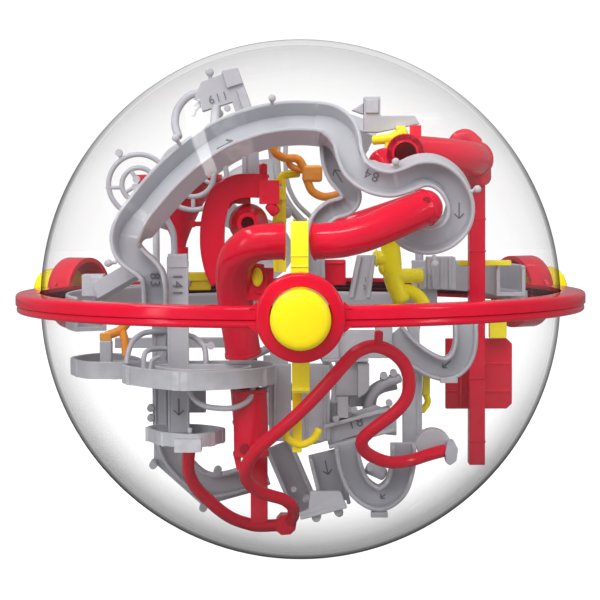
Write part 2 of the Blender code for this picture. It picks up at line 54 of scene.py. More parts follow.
BALL_RADIUS = 98.2
SHELL_WALL = 2.2
HUB_ANGLES = {"front": -90.0, "left": 150.0, "right": 30.0}


# ---------------------------------------------------------------- camera, stage and light
CAMERA_DISTANCE = 0.710
CAMERA_RISE = math.radians(3.2)
CAMERA_LENS = 111.7
CAMERA_ROLL = math.radians(-0.25)
CAMERA_SHIFT = (-0.0008, -0.0012)
FLOOR_SIZE = 8
FLOOR_HEIGHT = -0.0990
FLOOR_GLOW = 0.95
FLOOR_LIGHT = 0.02
WORLD_LIGHT = 0.50
WORLD_MIRRORED = 0.30
WORLD_SHOWN = 1.05
# name, direction, distance, (width, height), power, turn in degrees, whether it is mirrored
STUDIO_LIGHTS = (
    ("window", (-0.525, 0.005, 0.851), 1.0, (0.80, 0.075), 2.0, -6, True),
    ("crescent", (0.525, 0.21, 0.825), 1.0, (0.55, 0.05), 0.12, -40, True),
    ("overhead", (0.1, -0.3, 1.0), 1.6, (1.3, 0.9), 5.5),
    ("front", (-0.2, -1.0, 0.62), 1.6, (1.2, 0.7), 12),
    ("left_front", (-1.0, -1.0, 0.35), 1.5, (0.6, 0.9), 3),
    ("right_front", (1.0, -1.0, 0.2), 1.6, (0.5, 0.9), 2),
)
SHEEN_DISTANCE = 1.2
# name, direction, (width, height), power: highlights in the coloured parts, not in the shell
SHEEN_LIGHTS = (
    ("sheen_top", (-0.15, -0.62, 0.80), (0.60, 0.16), 3.0),
    ("sheen_left", (-0.85, -0.60, 0.25), (0.14, 0.60), 0.8),
    ("sheen_right", (0.80, -0.62, 0.40), (0.14, 0.45), 1.0),
)


def make_camera():
    data = bpy.data.cameras.new("camera")
    data.lens = CAMERA_LENS
    data.sensor_width = 36
    camera = bpy.data.objects.new("camera", data)
    away = Vector((0, -math.cos(CAMERA_RISE), math.sin(CAMERA_RISE)))
    camera.location = away * CAMERA_DISTANCE
    level = (-away).to_track_quat("-Z", "Y").to_matrix()
    camera.rotation_euler = (level @ Matrix.Rotation(CAMERA_ROLL, 3, "Z")).to_euler()
    data.shift_x, data.shift_y = CAMERA_SHIFT
    bpy.context.scene.collection.objects.link(camera)
    bpy.context.scene.camera = camera


def softbox(name, towards, distance, size, power, turn=0, mirrored=False):
    """A rectangular light that faces the ball; only a mirrored one shows in glossy surfaces."""
    data = bpy.data.lights.new(name, "AREA")
    data.shape = "RECTANGLE"
    data.size, data.size_y = size
    data.energy = power
    light = bpy.data.objects.new(name, data)
    direction = Vector(towards).normalized()
    light.location = direction * distance
    facing = (-direction).to_track_quat("-Z", "Y").to_matrix()
    light.rotation_euler = (facing @ Matrix.Rotation(math.radians(turn), 3, "Z")).to_euler()
    light.visible_glossy = mirrored
    bpy.context.scene.collection.objects.link(light)
    return light


def fill(node, **values):
    """Sets a node's inputs by name; an underscore stands for a space."""
    for name, value in values.items():
        node.inputs[name.replace("_", " ")].default_value = value


def add_node(tree, kind, **values):
    node = tree.nodes.new(f"ShaderNode{kind}")
    fill(node, **values)
    return node


def make_world():
    """White to look at, softer as light, and darker again as glossy surfaces mirror it."""
    world = bpy.data.worlds.new("studio")
    bpy.context.scene.world = world
    world.use_nodes = True
    tree = world.node_tree
    shown = tree.nodes["Background"]
    fill(shown, Color=(1, 1, 1, 1), Strength=WORLD_SHOWN)
    lit = add_node(tree, "Background", Color=(0.97, 0.98, 1.0, 1))
    path = add_node(tree, "LightPath")
    strength = add_node(tree, "MapRange", To_Min=WORLD_LIGHT, To_Max=WORLD_MIRRORED)
    tree.links.new(path.outputs["Is Glossy Ray"], strength.inputs["Value"])
    tree.links.new(strength.outputs["Result"], lit.inputs["Strength"])
    mix = add_node(tree, "MixShader")
    tree.links.new(path.outputs["Is Camera Ray"], mix.inputs[0])
    tree.links.new(lit.outputs[0], mix.inputs[1])
    tree.links.new(shown.outputs[0], mix.inputs[2])
    tree.links.new(mix.outputs[0], tree.nodes["World Output"].inputs["Surface"])


def make_stage():
    """A white floor bright enough to meet the white background, and the lights."""
    bpy.ops.mesh.primitive_plane_add(size=FLOOR_SIZE, location=(0, 0, FLOOR_HEIGHT))
    floor = bpy.context.object
    floor.name = "floor"
    paint = bpy.data.materials.new("floor_white")
    paint.use_nodes = True
    tree = paint.node_tree
    shader = tree.nodes["Principled BSDF"]
    fill(shader, Base_Color=(0.28, 0.28, 0.28, 1), Roughness=0.9, Specular_IOR_Level=0.0,
         Emission_Color=(1, 1, 1, 1))
    path = add_node(tree, "LightPath")
    glow = add_node(tree, "MapRange", To_Min=FLOOR_LIGHT, To_Max=FLOOR_GLOW)
    tree.links.new(path.outputs["Is Camera Ray"], glow.inputs["Value"])
    tree.links.new(glow.outputs["Result"], shader.inputs["Emission Strength"])
    floor.data.materials.append(paint)
    make_world()
    for light in STUDIO_LIGHTS:
        softbox(*light)
    bpy.context.scene.view_settings.view_transform = "Standard"


# ---------------------------------------------------------------- materials
class Paint:
    """A material's node tree, with short words for the nodes that the materials share."""

    def __init__(self, name):
        self.made = bpy.data.materials.new(name)
        self.made.use_nodes = True
        self.tree = self.made.node_tree
        self.shader = self.tree.nodes["Principled BSDF"]
        self.place = self.add("TexCoord").outputs["Object"]

    def add(self, kind, **values):
        return add_node(self.tree, kind, **values)

    def link(self, source, target):
        """Joins a socket or sets a plain value."""
        if isinstance(source, (int, float)):
            target.default_value = source
        elif isinstance(source, tuple):
            target.default_value = (*source, 1)
        else:
            self.tree.links.new(source, target)

    def noise(self, scale, detail=2.0, stretch=None):
        place = self.place
        if stretch:
            mapping = self.add("Mapping", Scale=stretch)
            self.link(self.place, mapping.inputs["Vector"])
            place = mapping.outputs["Vector"]
        node = self.add("TexNoise", Scale=scale, Detail=detail)
        self.link(place, node.inputs["Vector"])
        return node.outputs["Fac"]

    def spread(self, value, low, high, to_low=0.0, to_high=1.0):
        node = self.add("MapRange", From_Min=low, From_Max=high, To_Min=to_low, To_Max=to_high)
        self.link(value, node.inputs["Value"])
        return node.outputs["Result"]

    def blend(self, share, low, high):
        """Mixes two colours, each a tuple or a socket, by a share from 0 to 1."""
        node = self.add("Mix")
        node.data_type = "RGBA"
        self.link(share, node.inputs["Factor"])
        self.link(low, node.inputs[6])
        self.link(high, node.inputs[7])
        return node.outputs[2]

    def mix(self, share, first, second):
        """Mixes two shader nodes by a share from 0 to 1."""
        node = self.add("MixShader")
        self.link(share, node.inputs[0])
        self.link(first.outputs[0], node.inputs[1])
        self.link(second.outputs[0], node.inputs[2])
        return node

    def maths(self, operation, a, b):
        node = self.add("Math")
        node.operation = operation
        self.link(a, node.inputs[0])
        self.link(b, node.inputs[1])
        return node.outputs[0]

    def product(self, *factors):
        result = factors[0]
        for factor in factors[1:]:
            result = self.maths("MULTIPLY", result, factor)
        return result

    def bump(self, height, distance, strength=0.3):
        node = self.add("Bump", Distance=distance, Strength=strength)
        self.link(height, node.inputs["Height"])
        return node.outputs["Normal"]

    def ramp(self, value, stops, hue=(1.0, 1.0, 1.0)):
        """A colour ramp through (position, brightness) stops, a little tinted by a hue."""
        node = self.add("ValToRGB")
        elements = node.color_ramp.elements
        while len(elements) < len(stops):
            elements.new(0.5)
        for element, (position, bright) in zip(elements, stops):
            element.position = position
            element.color = (*(bright ** (2 - h) for h in hue), 1)
        self.link(value, node.inputs[0])
        return node.outputs[0]


def plastic(name, colour, shade, edge, roughness, grain, see_in=0.0):
    """Moulded plastic: slow flow marks in the colour, paler edges (wear and a painted rim
    highlight), scuffs and a grain.
    """
    paint = Paint(name)
    flow = paint.spread(paint.noise(22, 3, (1, 1, 0.35)), 0.32, 0.68)
    body = paint.blend(flow, shade, colour)
    # Paler colour on sharp edges: partly wear, partly a painted highlight along the rims.
    edges = paint.add("NewGeometry").outputs["Pointiness"]
    wear_and_rim_highlight = paint.spread(edges, 0.54, 0.66)
    broken = paint.spread(paint.noise(260, 4), 0.35, 0.6, 0.35, 1.0)
    paint.link(paint.blend(paint.product(wear_and_rim_highlight, broken), body, edge),
               paint.shader.inputs["Base Color"])
    scuff = paint.spread(paint.noise(90, 5, (1, 1, 2.5)), 0.35, 0.75, -0.05, 0.09)
    paint.link(paint.maths("ADD", scuff, roughness), paint.shader.inputs["Roughness"])
    skin = paint.maths("ADD", paint.noise(1400, 2), paint.product(paint.noise(60, 1), 2.0))
    paint.link(paint.bump(skin, grain * MM, 0.35), paint.shader.inputs["Normal"])
    fill(paint.shader, IOR=1.46)
    if see_in:
        fill(paint.shader, Subsurface_Weight=see_in, Subsurface_Radius=(0.004, 0.0015, 0.001),
             Subsurface_Scale=0.6)
    return paint.made


def steel():
    paint = Paint("steel_polished")
    flow = paint.noise(300, 4, (1, 1, 6))
    paint.link(paint.blend(flow, (0.62, 0.62, 0.64), (0.8, 0.8, 0.82)),
               paint.shader.inputs["Base Color"])
    paint.link(paint.spread(flow, 0.3, 0.7, 0.08, 0.2), paint.shader.inputs["Roughness"])
    fill(paint.shader, Metallic=1.0)
    return paint.made


# How much light one outer surface of the clear ball lets through, by how far it turns away:
# a painted darkening towards the rim, standing in for refraction and mirrored dark surroundings.
HIGH_CLEAR = (
    (0.36, 1.0), (0.46, 0.965), (0.55, 0.935), (0.70, 0.915), (0.85, 0.91), (0.92, 0.85),
    (0.96, 0.48),
)
SIDE_CLEAR = (
    (0.60, 1.0), (0.72, 0.985), (0.79, 0.95), (0.83, 0.70), (0.87, 0.53), (0.92, 0.42),
    (0.96, 0.28),
)
LOWER_CLEAR = (
    (0.38, 1.0), (0.47, 0.96), (0.54, 0.88), (0.62, 0.79), (0.70, 0.69), (0.78, 0.63),
    (0.82, 0.53), (0.86, 0.36), (0.90, 0.26), (0.96, 0.12),
)
INNER_CLEAR = ((0.5, 1.0), (0.9, 0.97), (0.97, 0.86))
OUTER_FROM = 0.0970
OUTER_FADE = 0.0006
RIM_GLOSS_POWER = 3.0
HAZE_GREEN = (0.97, 0.99, 0.97)
PAINTED_RING_REFLECTION_PINK = (1.0, 0.88, 0.89)
GLOSS_AT_RIM = 0.11
GLOSS_SQUARE_ON = 0.012


def clear_shell():
    """Clear polystyrene: it hides nothing square on, goes milky towards its rim, and mirrors the
    lights.
    Its darkening towards the rim, stronger in the lower half, is painted: it stands in for
    refraction and for the dark surroundings that the shell mirrors."""
    paint = Paint("clear_polished")
    paint.tree.nodes.remove(paint.shader)
    turned_away = paint.add("LayerWeight", Blend=0.5).outputs["Facing"]
    split = paint.add("SeparateXYZ")
    paint.link(paint.place, split.inputs[0])
    height = split.outputs["Z"]
    low_half = paint.spread(height, -0.012, -0.062)
    high = paint.spread(height, 0.045, 0.088)
    reach = paint.add("VectorMath")
    reach.operation = "LENGTH"
    paint.link(paint.place, reach.inputs[0])
    outer = paint.spread(reach.outputs["Value"], OUTER_FROM, OUTER_FROM + OUTER_FADE)

    # Painted darkening by these ramps, stronger in the lower half than at the top.
    sides = paint.ramp(turned_away, SIDE_CLEAR)
    upper = paint.blend(high, sides, paint.ramp(turned_away, HIGH_CLEAR, (0.98, 1.0, 1.01)))
    lower = paint.ramp(turned_away, LOWER_CLEAR)
    inner = paint.ramp(turned_away, INNER_CLEAR)
    through = paint.add("BsdfTransparent")
    paint.link(paint.blend(outer, inner, paint.blend(low_half, upper, lower)),
               through.inputs["Color"])

    inside_rim = paint.spread(turned_away, 0.84, 0.95, 1.0, 0.12)
    # Streaky bands that vary the haze and tint it pink: a painted reflection of the red ring.
    haze_and_reflection_bands = paint.noise(9, 5, (1, 1, 7))
    haze = paint.add("BsdfDiffuse")
    paint.link(paint.blend(paint.spread(haze_and_reflection_bands, 0.42, 0.62), HAZE_GREEN, PAINTED_RING_REFLECTION_PINK),
               haze.inputs["Color"])
    milk = paint.product(
        paint.spread(turned_away, 0.25, 0.6, 0.0, 0.06),
        paint.spread(haze_and_reflection_bands, 0.38, 0.66, 0.75, 1.25),
        paint.spread(low_half, 0, 1, 1.0, 0.25),
        paint.spread(height, 0.005, 0.075, 0.35, 1.0),
        inside_rim,
        outer,
    )

    mirror = paint.add("BsdfGlossy", Roughness=0.03, Color=(1, 1, 1, 1))
    paint.link(paint.bump(paint.noise(14, 2), 0.4 * MM, 0.2), mirror.inputs["Normal"])
    gloss = paint.product(paint.maths("POWER", turned_away, RIM_GLOSS_POWER), GLOSS_AT_RIM)
    share = paint.product(paint.maths("ADD", gloss, GLOSS_SQUARE_ON), inside_rim)
    surface = paint.mix(share, paint.mix(milk, through, haze), mirror)
    paint.link(surface.outputs[0], paint.tree.nodes["Material Output"].inputs["Surface"])
    return paint.made


# slot: (material name, colour, shade, paler edge for wear and a painted rim highlight, roughness,
# grain, light that sinks in)
PLASTICS = {
    "red_plastic": (
        "red_moulded", (0.76, 0.004, 0.034), (0.62, 0.003, 0.024), (1.0, 0.03, 0.07),
        0.13, 0.006, 0.12,
    ),
    "yellow_plastic": (
        "yellow_moulded", (1.0, 0.87, 0.008), (0.96, 0.70, 0.004), (1.0, 0.93, 0.16),
        0.24, 0.006, 0.1,
    ),
    "orange_plastic": (
        "orange_moulded", (0.90, 0.34, 0.035), (0.80, 0.26, 0.02), (0.98, 0.50, 0.12),
        0.28, 0.006, 0.1,
    ),
    "grey_plastic": (
        "grey_moulded", (0.50, 0.505, 0.54), (0.42, 0.42, 0.455), (0.62, 0.63, 0.66),
        0.36, 0.012,
    ),
    # Painted shade: a dark red laid on discs where holes and dimples are, in place of the shade
    # inside them.
    "red_painted_hole_shade": (
        "red_painted_hole_shade", (0.30, 0.002, 0.012), (0.22, 0.002, 0.010), (0.45, 0.01, 0.03), 0.4, 0.01,
    ),
    "mark": (
        "mark_grey", (0.16, 0.16, 0.18), (0.13, 0.13, 0.15), (0.2, 0.2, 0.22), 0.5, 0.01,
    ),
}


def make_paints():
    paints = {slot: plastic(*values) for slot, values in PLASTICS.items()}
    paints["clear_plastic"] = clear_shell()
    paints["steel"] = steel()
    return paints


# ---------------------------------------------------------------- routes
def spline(places, steps):
    """Catmull-Rom points from the second place up to, but not at, the last but one."""
    route = []
    for a, b, c, d in zip(places, places[1:], places[2:], places[3:]):
        for step in range(steps):
            t = step / steps
            route.append(
                0.5 * (2 * b + (c - a) * t + (2 * a - 5 * b + 4 * c - d) * t**2)
                + 0.5 * (3 * b - a - 3 * c + d) * t**3
            )
    return route


def smooth_route(points, steps):
    """A smooth curve through the points, with this many steps to each stretch."""
    places = [Vector(p) for p in points]
    ends = [places[0] * 2 - places[1]] + places + [places[-1] * 2 - places[-2]]
    return spline(ends, steps) + [places[-1]]


def closed_route(outline, steps):
    """A smooth closed plan loop through an outline of (x, y) pairs."""
    places = [Vector((x, y, 0)) for x, y in outline]
    return spline([places[-1]] + places + places[:2], steps)


def level_arc(radius, start, end, height, steps):
    """Points along a level arc about the ball's vertical axis, angles in degrees."""
    angles = [math.radians(start + (end - start) * i / steps) for i in range(steps + 1)]
    return [Vector((radius * math.cos(a), radius * math.sin(a), height)) for a in angles]


def upright_arc(centre, radius, start, end, steps):
    """Points along an arc in a plane that faces the front, angles in degrees from +X."""
    angles = [math.radians(start + (end - start) * i / steps) for i in range(steps + 1)]
    spokes = [Vector((radius * math.cos(a), 0, radius * math.sin(a))) for a in angles]
    return [Vector(centre) + spoke for spoke in spokes]


def directions(route, closed=False):
    last = len(route) - 1
    for i in range(len(route)):
        before = route[i - 1] if i or closed else route[0]
        after = route[(i + 1) % len(route)] if i < last or closed else route[last]
        yield (after - before).normalized()


def out_vectors(route, out):
    """Travel, side and open side at each point: out is a fixed vector or a rule."""
    for place, along in zip(route, directions(route)):
        wanted = out(place) if callable(out) else out
        side = along.cross(wanted).normalized()
        yield along, side, side.cross(along)


def carried_vectors(route, closed=False):
    """A side vector carried along the route without twist, for round sections."""
    steps = list(directions(route, closed))
    least = min(range(3), key=lambda axis: abs(steps[0][axis]))
    side = steps[0].cross(Vector([float(axis == least) for axis in range(3)]))
    for along in steps:
        side = (side - along * side.dot(along)).normalized()
        yield along, side, side.cross(along)


# ---------------------------------------------------------------- solids
TRACK_WALL = 1.4
TRACK_FLOOR = 1.5
TUBE_WALL = 1.8
END_LEANS = (30, 60, 80)  # degrees round a rod's end at which it has a ring
END_DEPTH = 0.5  # how far a rod's end stands out, as a share of its radius
SHARP_EDGE = math.radians(38)


def skin(bm, rings, closed=False):
    followers = rings[1:] + rings[:1] if closed else rings[1:]
    for near, far in zip(rings, followers):
        for i in range(len(near)):
            j = (i + 1) % len(near)
            bm.faces.new((near[i], near[j], far[j], far[i]))


def sweep(route, outline, out, bm=None):
    """Carries a flat outline of (across, outward) pairs along a route. The outline may be a rule
    that gives one for each share of the way."""
    bm = bm or bmesh.new()
    route = [Vector(point) for point in route]
    rings = []
    last = len(route) - 1
    for i, (place, (_, side, up)) in enumerate(zip(route, out_vectors(route, out))):
        shape = outline(i / last) if callable(outline) else outline
        rings.append([bm.verts.new(place + side * a + up * b) for a, b in shape])
    skin(bm, rings)
    bm.faces.new(rings[0])
    bm.faces.new(rings[-1])
    return bm


def circle(radius, sides):
    angles = [math.tau * (i + 0.5) / sides for i in range(sides)]
    return [(radius * math.cos(a), radius * math.sin(a)) for a in angles]


def at_each(radius, route):
    """A radius for each point of a route, from one number or a list."""
    return radius if isinstance(radius, list) else [radius] * len(route)


def rod(route, radius, bm=None, sides=14, closed=False, smooth=0):
    """A solid round bar with rounded ends along a route, or along a smooth curve through it."""
    bm = bm or bmesh.new()
    route = smooth_route(route, smooth) if smooth else [Vector(point) for point in route]
    radii = at_each(radius, route)
    stations = list(zip(route, radii, carried_vectors(route, closed)))
    places = [(place, size, side, up) for place, size, (_, side, up) in stations]
    if not closed:
        for end, sign in ((0, -1), (-1, 1)):
            place, size, (along, side, up) = stations[end]
            for lean in END_LEANS:
                angle = math.radians(lean)
                moved = place + along * sign * size * END_DEPTH * math.sin(angle)
                extra = (moved, size * math.cos(angle), side, up)
                places.insert(0 if end == 0 else len(places), extra)
    rings = []
    for place, size, side, up in places:
        rings.append([bm.verts.new(place + side * a + up * b) for a, b in circle(size, sides)])
    skin(bm, rings, closed)
    if not closed:
        bm.faces.new(rings[0])
        bm.faces.new(rings[-1])
    return bm


def tube(route, radius, wall=TUBE_WALL, sides=28, bm=None):
    """A round pipe along a route, open at both ends, with one outer radius."""
    bm = bm or bmesh.new()
    route = [Vector(point) for point in route]
    outer, inner = [], []
    for place, (_, side, up) in zip(route, carried_vectors(route)):
        for rings, size in ((outer, radius), (inner, radius - wall)):
            rings.append([bm.verts.new(place + side * a + up * b) for a, b in circle(size, sides)])
    skin(bm, outer)
    skin(bm, inner)
    for i in range(sides):
        j = (i + 1) % sides
        for end in (0, -1):
            bm.faces.new((outer[end][i], outer[end][j], inner[end][j], inner[end][i]))
    return bm


def turned(outline, segments, closed_outline=True):
    """Turns an outline of (radius, height) pairs about Z. One that isn't closed starts and ends
    on the axis."""
    bm = bmesh.new()
    profile = [bm.verts.new((r, 0, z)) for r, z in outline]
    pairs = list(zip(profile, profile[1:]))
    if closed_outline:
        pairs.append((profile[-1], profile[0]))
    edges = [bm.edges.new(pair) for pair in pairs]
    bmesh.ops.spin(bm, geom=profile + edges, cent=(0, 0, 0), axis=(0, 0, 1), angle=math.tau,
                   steps=segments, use_merge=True)
    bmesh.ops.remove_doubles(bm, verts=bm.verts, dist=0.001)
    return bm


def block(low, high, bm=None):
    bm = bm or bmesh.new()
    made = bmesh.ops.create_cube(bm, size=1)["verts"]
    size = Vector(high) - Vector(low)
    bmesh.ops.scale(bm, vec=size, verts=made)
    bmesh.ops.translate(bm, vec=(Vector(low) + Vector(high)) / 2, verts=made)
    return bm


def plate(outline, front, back, bm=None):
    """A flat plate that faces the front: an outline of (x, z) pairs between two y values."""
    bm = bm or bmesh.new()
    face = bm.faces.new([bm.verts.new((x, front, z)) for x, z in outline])
    made = bmesh.ops.extrude_face_region(bm, geom=[face])["geom"]
    corners = [item for item in made if isinstance(item, bmesh.types.BMVert)]
    bmesh.ops.translate(bm, vec=(0, back - front, 0), verts=corners)
    return bm


def disc(centre, radius, front, back, bm=None, sides=20):
    """A short round bar along Y, given by its (x, z) centre."""
    x, z = centre
    return plate([(x + a, z + b) for a, b in circle(radius, sides)], front, back, bm)


def discs(centres, radius, front, back, bm):
    """Several short round bars alike."""
    for centre in centres:
        disc(centre, radius, front, back, bm)


def u_section(width, height):
    """The outline of a track: its rim is at outward 0 and its floor below."""
    half = width / 2
    floor = TRACK_FLOOR - height
    return [
        (-half, -height), (half, -height), (half, 0), (half - TRACK_WALL, 0),
        (half - TRACK_WALL, floor), (TRACK_WALL - half, floor), (TRACK_WALL - half, 0), (-half, 0),
    ]


def bar_section(width, height):
    half = width / 2
    return [(-half, -height), (half, -height), (half, 0), (-half, 0)]


GREY, RED, YELLOW, ORANGE = "grey_plastic", "red_plastic", "yellow_plastic", "orange_plastic"
PAINTS = {}


def piece(name, bm, slot=GREY, nodes=(), edge=0.35, place=None, body=BALL):
    """Turns a bmesh, in millimetres, into a piece with rounded edges that rides on a body."""
    bmesh.ops.recalc_face_normals(bm, faces=bm.faces)
    bmesh.ops.scale(bm, vec=(MM, MM, MM), verts=bm.verts)
    mesh = bpy.data.meshes.new(name)
    bm.to_mesh(mesh)
    bm.free()
    mesh.materials.append(PAINTS[slot])
    mesh.shade_smooth()
    mesh.set_sharp_from_angle(angle=SHARP_EDGE)
    obj = bpy.data.objects.new(name, mesh)
    bpy.context.scene.collection.objects.link(obj)
    if place is not None:
        obj.data.transform(place)
    if edge:
        rounding = obj.modifiers.new("rounding", "BEVEL")
        rounding.width = edge * MM
        rounding.segments = 2
        rounding.limit_method = "ANGLE"
        rounding.angle_limit = SHARP_EDGE
        rounding.harden_normals = True
        rounding.use_clamp_overlap = True
    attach(obj, body)
    if nodes:
        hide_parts(*([nodes] if isinstance(nodes, str) else nodes))
    return obj


def moulded(node, bm, slot=GREY, edge=0.35, place=None):
    """A piece that stands for the CAD node of the same name."""
    return piece(f"{node}_moulded", bm, slot, node, edge, place)


# ---------------------------------------------------------------- casing
FLANGE_RADIUS = 103.4
FLANGE_TOP = 1.8
HALF_GAP = 0.15
RING_BORE = 98.6
RING_RECESS = 104.0
RING_HALF_HEIGHT = 3.6
HUB_RADIUS = 14.6
HUB_FACE = 110.5
HUB_PLATE = 2.4
HUB_INNER_END = 99.3
CAP_RADIUS = 9.8
CAP_END = 122.5
CAP_FOOT = 107.9
CAP_GAP = 0.35
HUB_BORE = 12.8
SHELL_TURNS = 144

def dome_outline(radius, start, steps):
    """A quarter circle from near the equator to the pole, as (radius, height) pairs."""
    first = math.asin(start / radius)
    angles = [first + (math.pi / 2 - first) * i / steps for i in range(steps)]
    return [(radius * math.cos(a), radius * math.sin(a)) for a in angles] + [(0.0, radius)]


def make_shells():
    """The two clear halves. The sheen lights skip them, so that they stay clear."""
    skipped = bpy.data.collections.new("sheen_skips")
    inner = dome_outline(BALL_RADIUS - SHELL_WALL, HALF_GAP, 44)
    outer = dome_outline(BALL_RADIUS, FLANGE_TOP, 44)
    flange = [(FLANGE_RADIUS, FLANGE_TOP), (FLANGE_RADIUS, HALF_GAP)]
    outline = outer[::-1] + flange + inner
    for node, turn in (("upper_shell", 0.0), ("lower_shell", math.pi)):
        shell = turned(outline, SHELL_TURNS, closed_outline=False)
        half = piece(f"{node}_clear", shell, "clear_plastic", node, edge=0,
                     place=Matrix.Rotation(turn, 4, "X"))
        skipped.objects.link(half)
    for member in skipped.collection_objects:
        member.light_linking.link_state = "EXCLUDE"
    for name, towards, size, power in SHEEN_LIGHTS:
        light = softbox(name, towards, SHEEN_DISTANCE, size, power, mirrored=True)
        light.light_linking.receiver_collection = skipped


def corner(centre, radius, start, end, steps=4):
    """Points round a corner of an outline, angles in degrees."""
    angles = [math.radians(start + (end - start) * i / steps) for i in range(steps + 1)]
    return [(centre[0] + radius * math.cos(a), centre[1] + radius * math.sin(a)) for a in angles]


def make_ring():
    """The two halves meet at a fine dark line, with a step in the lower half below it."""
    top, low = RING_HALF_HEIGHT, -RING_HALF_HEIGHT
    upper = [(RING_BORE, top)] + corner((106.1, top - 1.4), 1.4, 90, 0) + [
        (107.5, -0.62), (107.2, -0.86), (RING_RECESS, -0.86), (RING_RECESS, 2.1), (RING_BORE, 2.1),
    ]
    lower = [(RING_BORE, low), (RING_BORE, -2.1), (RING_RECESS, -2.1), (RING_RECESS, -0.92),
             (106.75, -0.92), (106.95, -1.05), (106.95, -1.9), (107.1, -2.1)]
    lower += corner((106.0, low + 1.1), 1.1, 0, -90)
    moulded("ring_upper", turned(upper, SHELL_TURNS), RED, edge=0)
    moulded("ring_lower", turned(lower, SHELL_TURNS), RED, edge=0)


def hub_turn(angle):
    return Matrix.Rotation(math.radians(angle), 4, "Z") @ Matrix.Rotation(math.pi / 2, 4, "Y")


def make_hubs():
    """Each hub is a cup with a soft rim and a chamfered hole for its cap, and four fillets to the
    ring.
    """
    back = HUB_FACE - HUB_PLATE
    hole = CAP_RADIUS + CAP_GAP
    cup = [(hole, back), (hole, HUB_FACE - 0.5), (hole + 0.5, HUB_FACE)]
    cup += corner((HUB_RADIUS - 1.3, HUB_FACE - 1.3), 1.3, 90, 0)
    cup += [(HUB_RADIUS, HUB_INNER_END), (HUB_BORE, HUB_INNER_END), (HUB_BORE, back)]
    cap = [(0, CAP_FOOT), (CAP_RADIUS, CAP_FOOT), (CAP_RADIUS, CAP_END - 3.4)]
    cap += corner((CAP_RADIUS - 3.0, CAP_END - 3.4), 3.0, 0, 62, 6)[1:]
    cap += [(6.6, CAP_END - 0.42), (4.0, CAP_END - 0.14), (0, CAP_END - 0.02)]
    for place, angle in HUB_ANGLES.items():
        turn = hub_turn(angle)
        piece(f"hub_{place}_moulded", turned(cup, 64), RED, f"hub_housing_{place}", edge=0,
              place=turn)
        piece(f"cap_{place}_moulded", turned(cap, 56, closed_outline=False), YELLOW,
              f"hub_cap_{place}", edge=0, place=turn)
        fillets = bmesh.new()
        for side in (-1, 1):
            for face in (-1, 1):
                x, z = side * (HUB_RADIUS - 0.6), face * (RING_HALF_HEIGHT - 0.9)
                outline = [(x, z), (x + side * 2.9, z), (x, z + face * 2.6)]
                plate(outline if side * face > 0 else outline[::-1], 105.0, 106.6, fillets)
        piece(f"hub_{place}_fillets", fillets, RED, edge=0.2,
              place=Matrix.Rotation(math.radians(angle - 90), 4, "Z"))


# ---------------------------------------------------------------- the marble and its start
START_LOW = Vector((-8.0, -76.0, -4.0))
START_HIGH = Vector((10.0, -76.0, -3.2))
MARBLE_RADIUS = 3.175
TRAY_END = 4.9


def make_start():
    slope = (START_HIGH - START_LOW).normalized()
    rim = Vector((0, 0, 6.0 - TRACK_FLOOR - MARBLE_RADIUS - 0.05))
    low = START_LOW - slope * TRAY_END + rim
    high = START_HIGH + slope * TRAY_END + rim
    tray = sweep([low, high], u_section(10.0, 6.0), TOP)
    for end, step in ((low, 1), (high, -1)):
        inward = slope * step * TRACK_WALL
        corners = (end, end + inward)
        left = min(c.x for c in corners)
        right = max(c.x for c in corners)
        block((left, low.y - 3.8, end.z - 5.2), (right, low.y + 3.8, end.z), tray)
    moulded("start_tray", tray, edge=0.3)
    ball = bmesh.new()
    bmesh.ops.create_icosphere(ball, subdivisions=4, radius=MARBLE_RADIUS)
    piece("marble_steel", ball, "steel", "marble", edge=0,
          place=Matrix.Translation(START_LOW * MM), body="marble")


# ---------------------------------------------------------------- marks: step numbers and arrows
TEXT_SCALE = 1.35
TEXT_RAISE = 0.12


def lay_flat(place, along, facing):
    """A matrix that puts X along a direction and Z out of a surface, in metres."""
    facing = Vector(facing).normalized()
    along = Vector(along)
    along = (along - facing * along.dot(facing)).normalized()
    across = facing.cross(along)
    turn = Matrix((along, across, facing)).transposed().to_4x4()
    return Matrix.Translation(Vector(place) * MM) @ turn


def number(name, text, place, along, facing, height):
    """A step number, raised a little from the surface it stands on."""
    curve = bpy.data.curves.new(name, "FONT")
    curve.body = text
    curve.size = height * TEXT_SCALE
    curve.align_x = "CENTER"
    curve.align_y = "CENTER"
    curve.extrude = TEXT_RAISE
    curve.space_character = 1.15
    helper = bpy.data.objects.new(name, curve)
    bpy.context.scene.collection.objects.link(helper)
    evaluated = helper.evaluated_get(bpy.context.evaluated_depsgraph_get())
    mesh = bpy.data.meshes.new_from_object(evaluated)
    bm = bmesh.new()
    bm.from_mesh(mesh)
    bpy.data.objects.remove(helper)
    bpy.data.meshes.remove(mesh)
    piece(name, bm, "mark", edge=0, place=lay_flat(place, along, facing))


def arrow(name, place, along, facing, length, broad=0.5):
    """A thin arrow with an open head, raised a little from the surface it stands on."""
    half, head = length / 2, length * 0.3
    bar = [(-broad / 2, -0.1), (broad / 2, -0.1), (broad / 2, 0.12), (-broad / 2, 0.12)]
    tip = (half, 0, 0.02)
    bm = bmesh.new()
    sweep([(-half, 0, 0.02), tip], bar, TOP, bm)
    sweep([tip, (half - head, head, 0.02)], bar, TOP, bm)
    sweep([tip, (half - head, -head, 0.02)], bar, TOP, bm)
    piece(name, bm, "mark", edge=0, place=lay_flat(place, along, facing))


def on_floor(route, out, share, depth):
    """The place, travel and open side on a track's floor, at a share of the way along it."""
    stations = list(zip(route, out_vectors(route, out)))
    place, (along, _, up) = stations[round(share * (len(route) - 1))]
    return place - up * (depth - TRACK_FLOOR), along, up


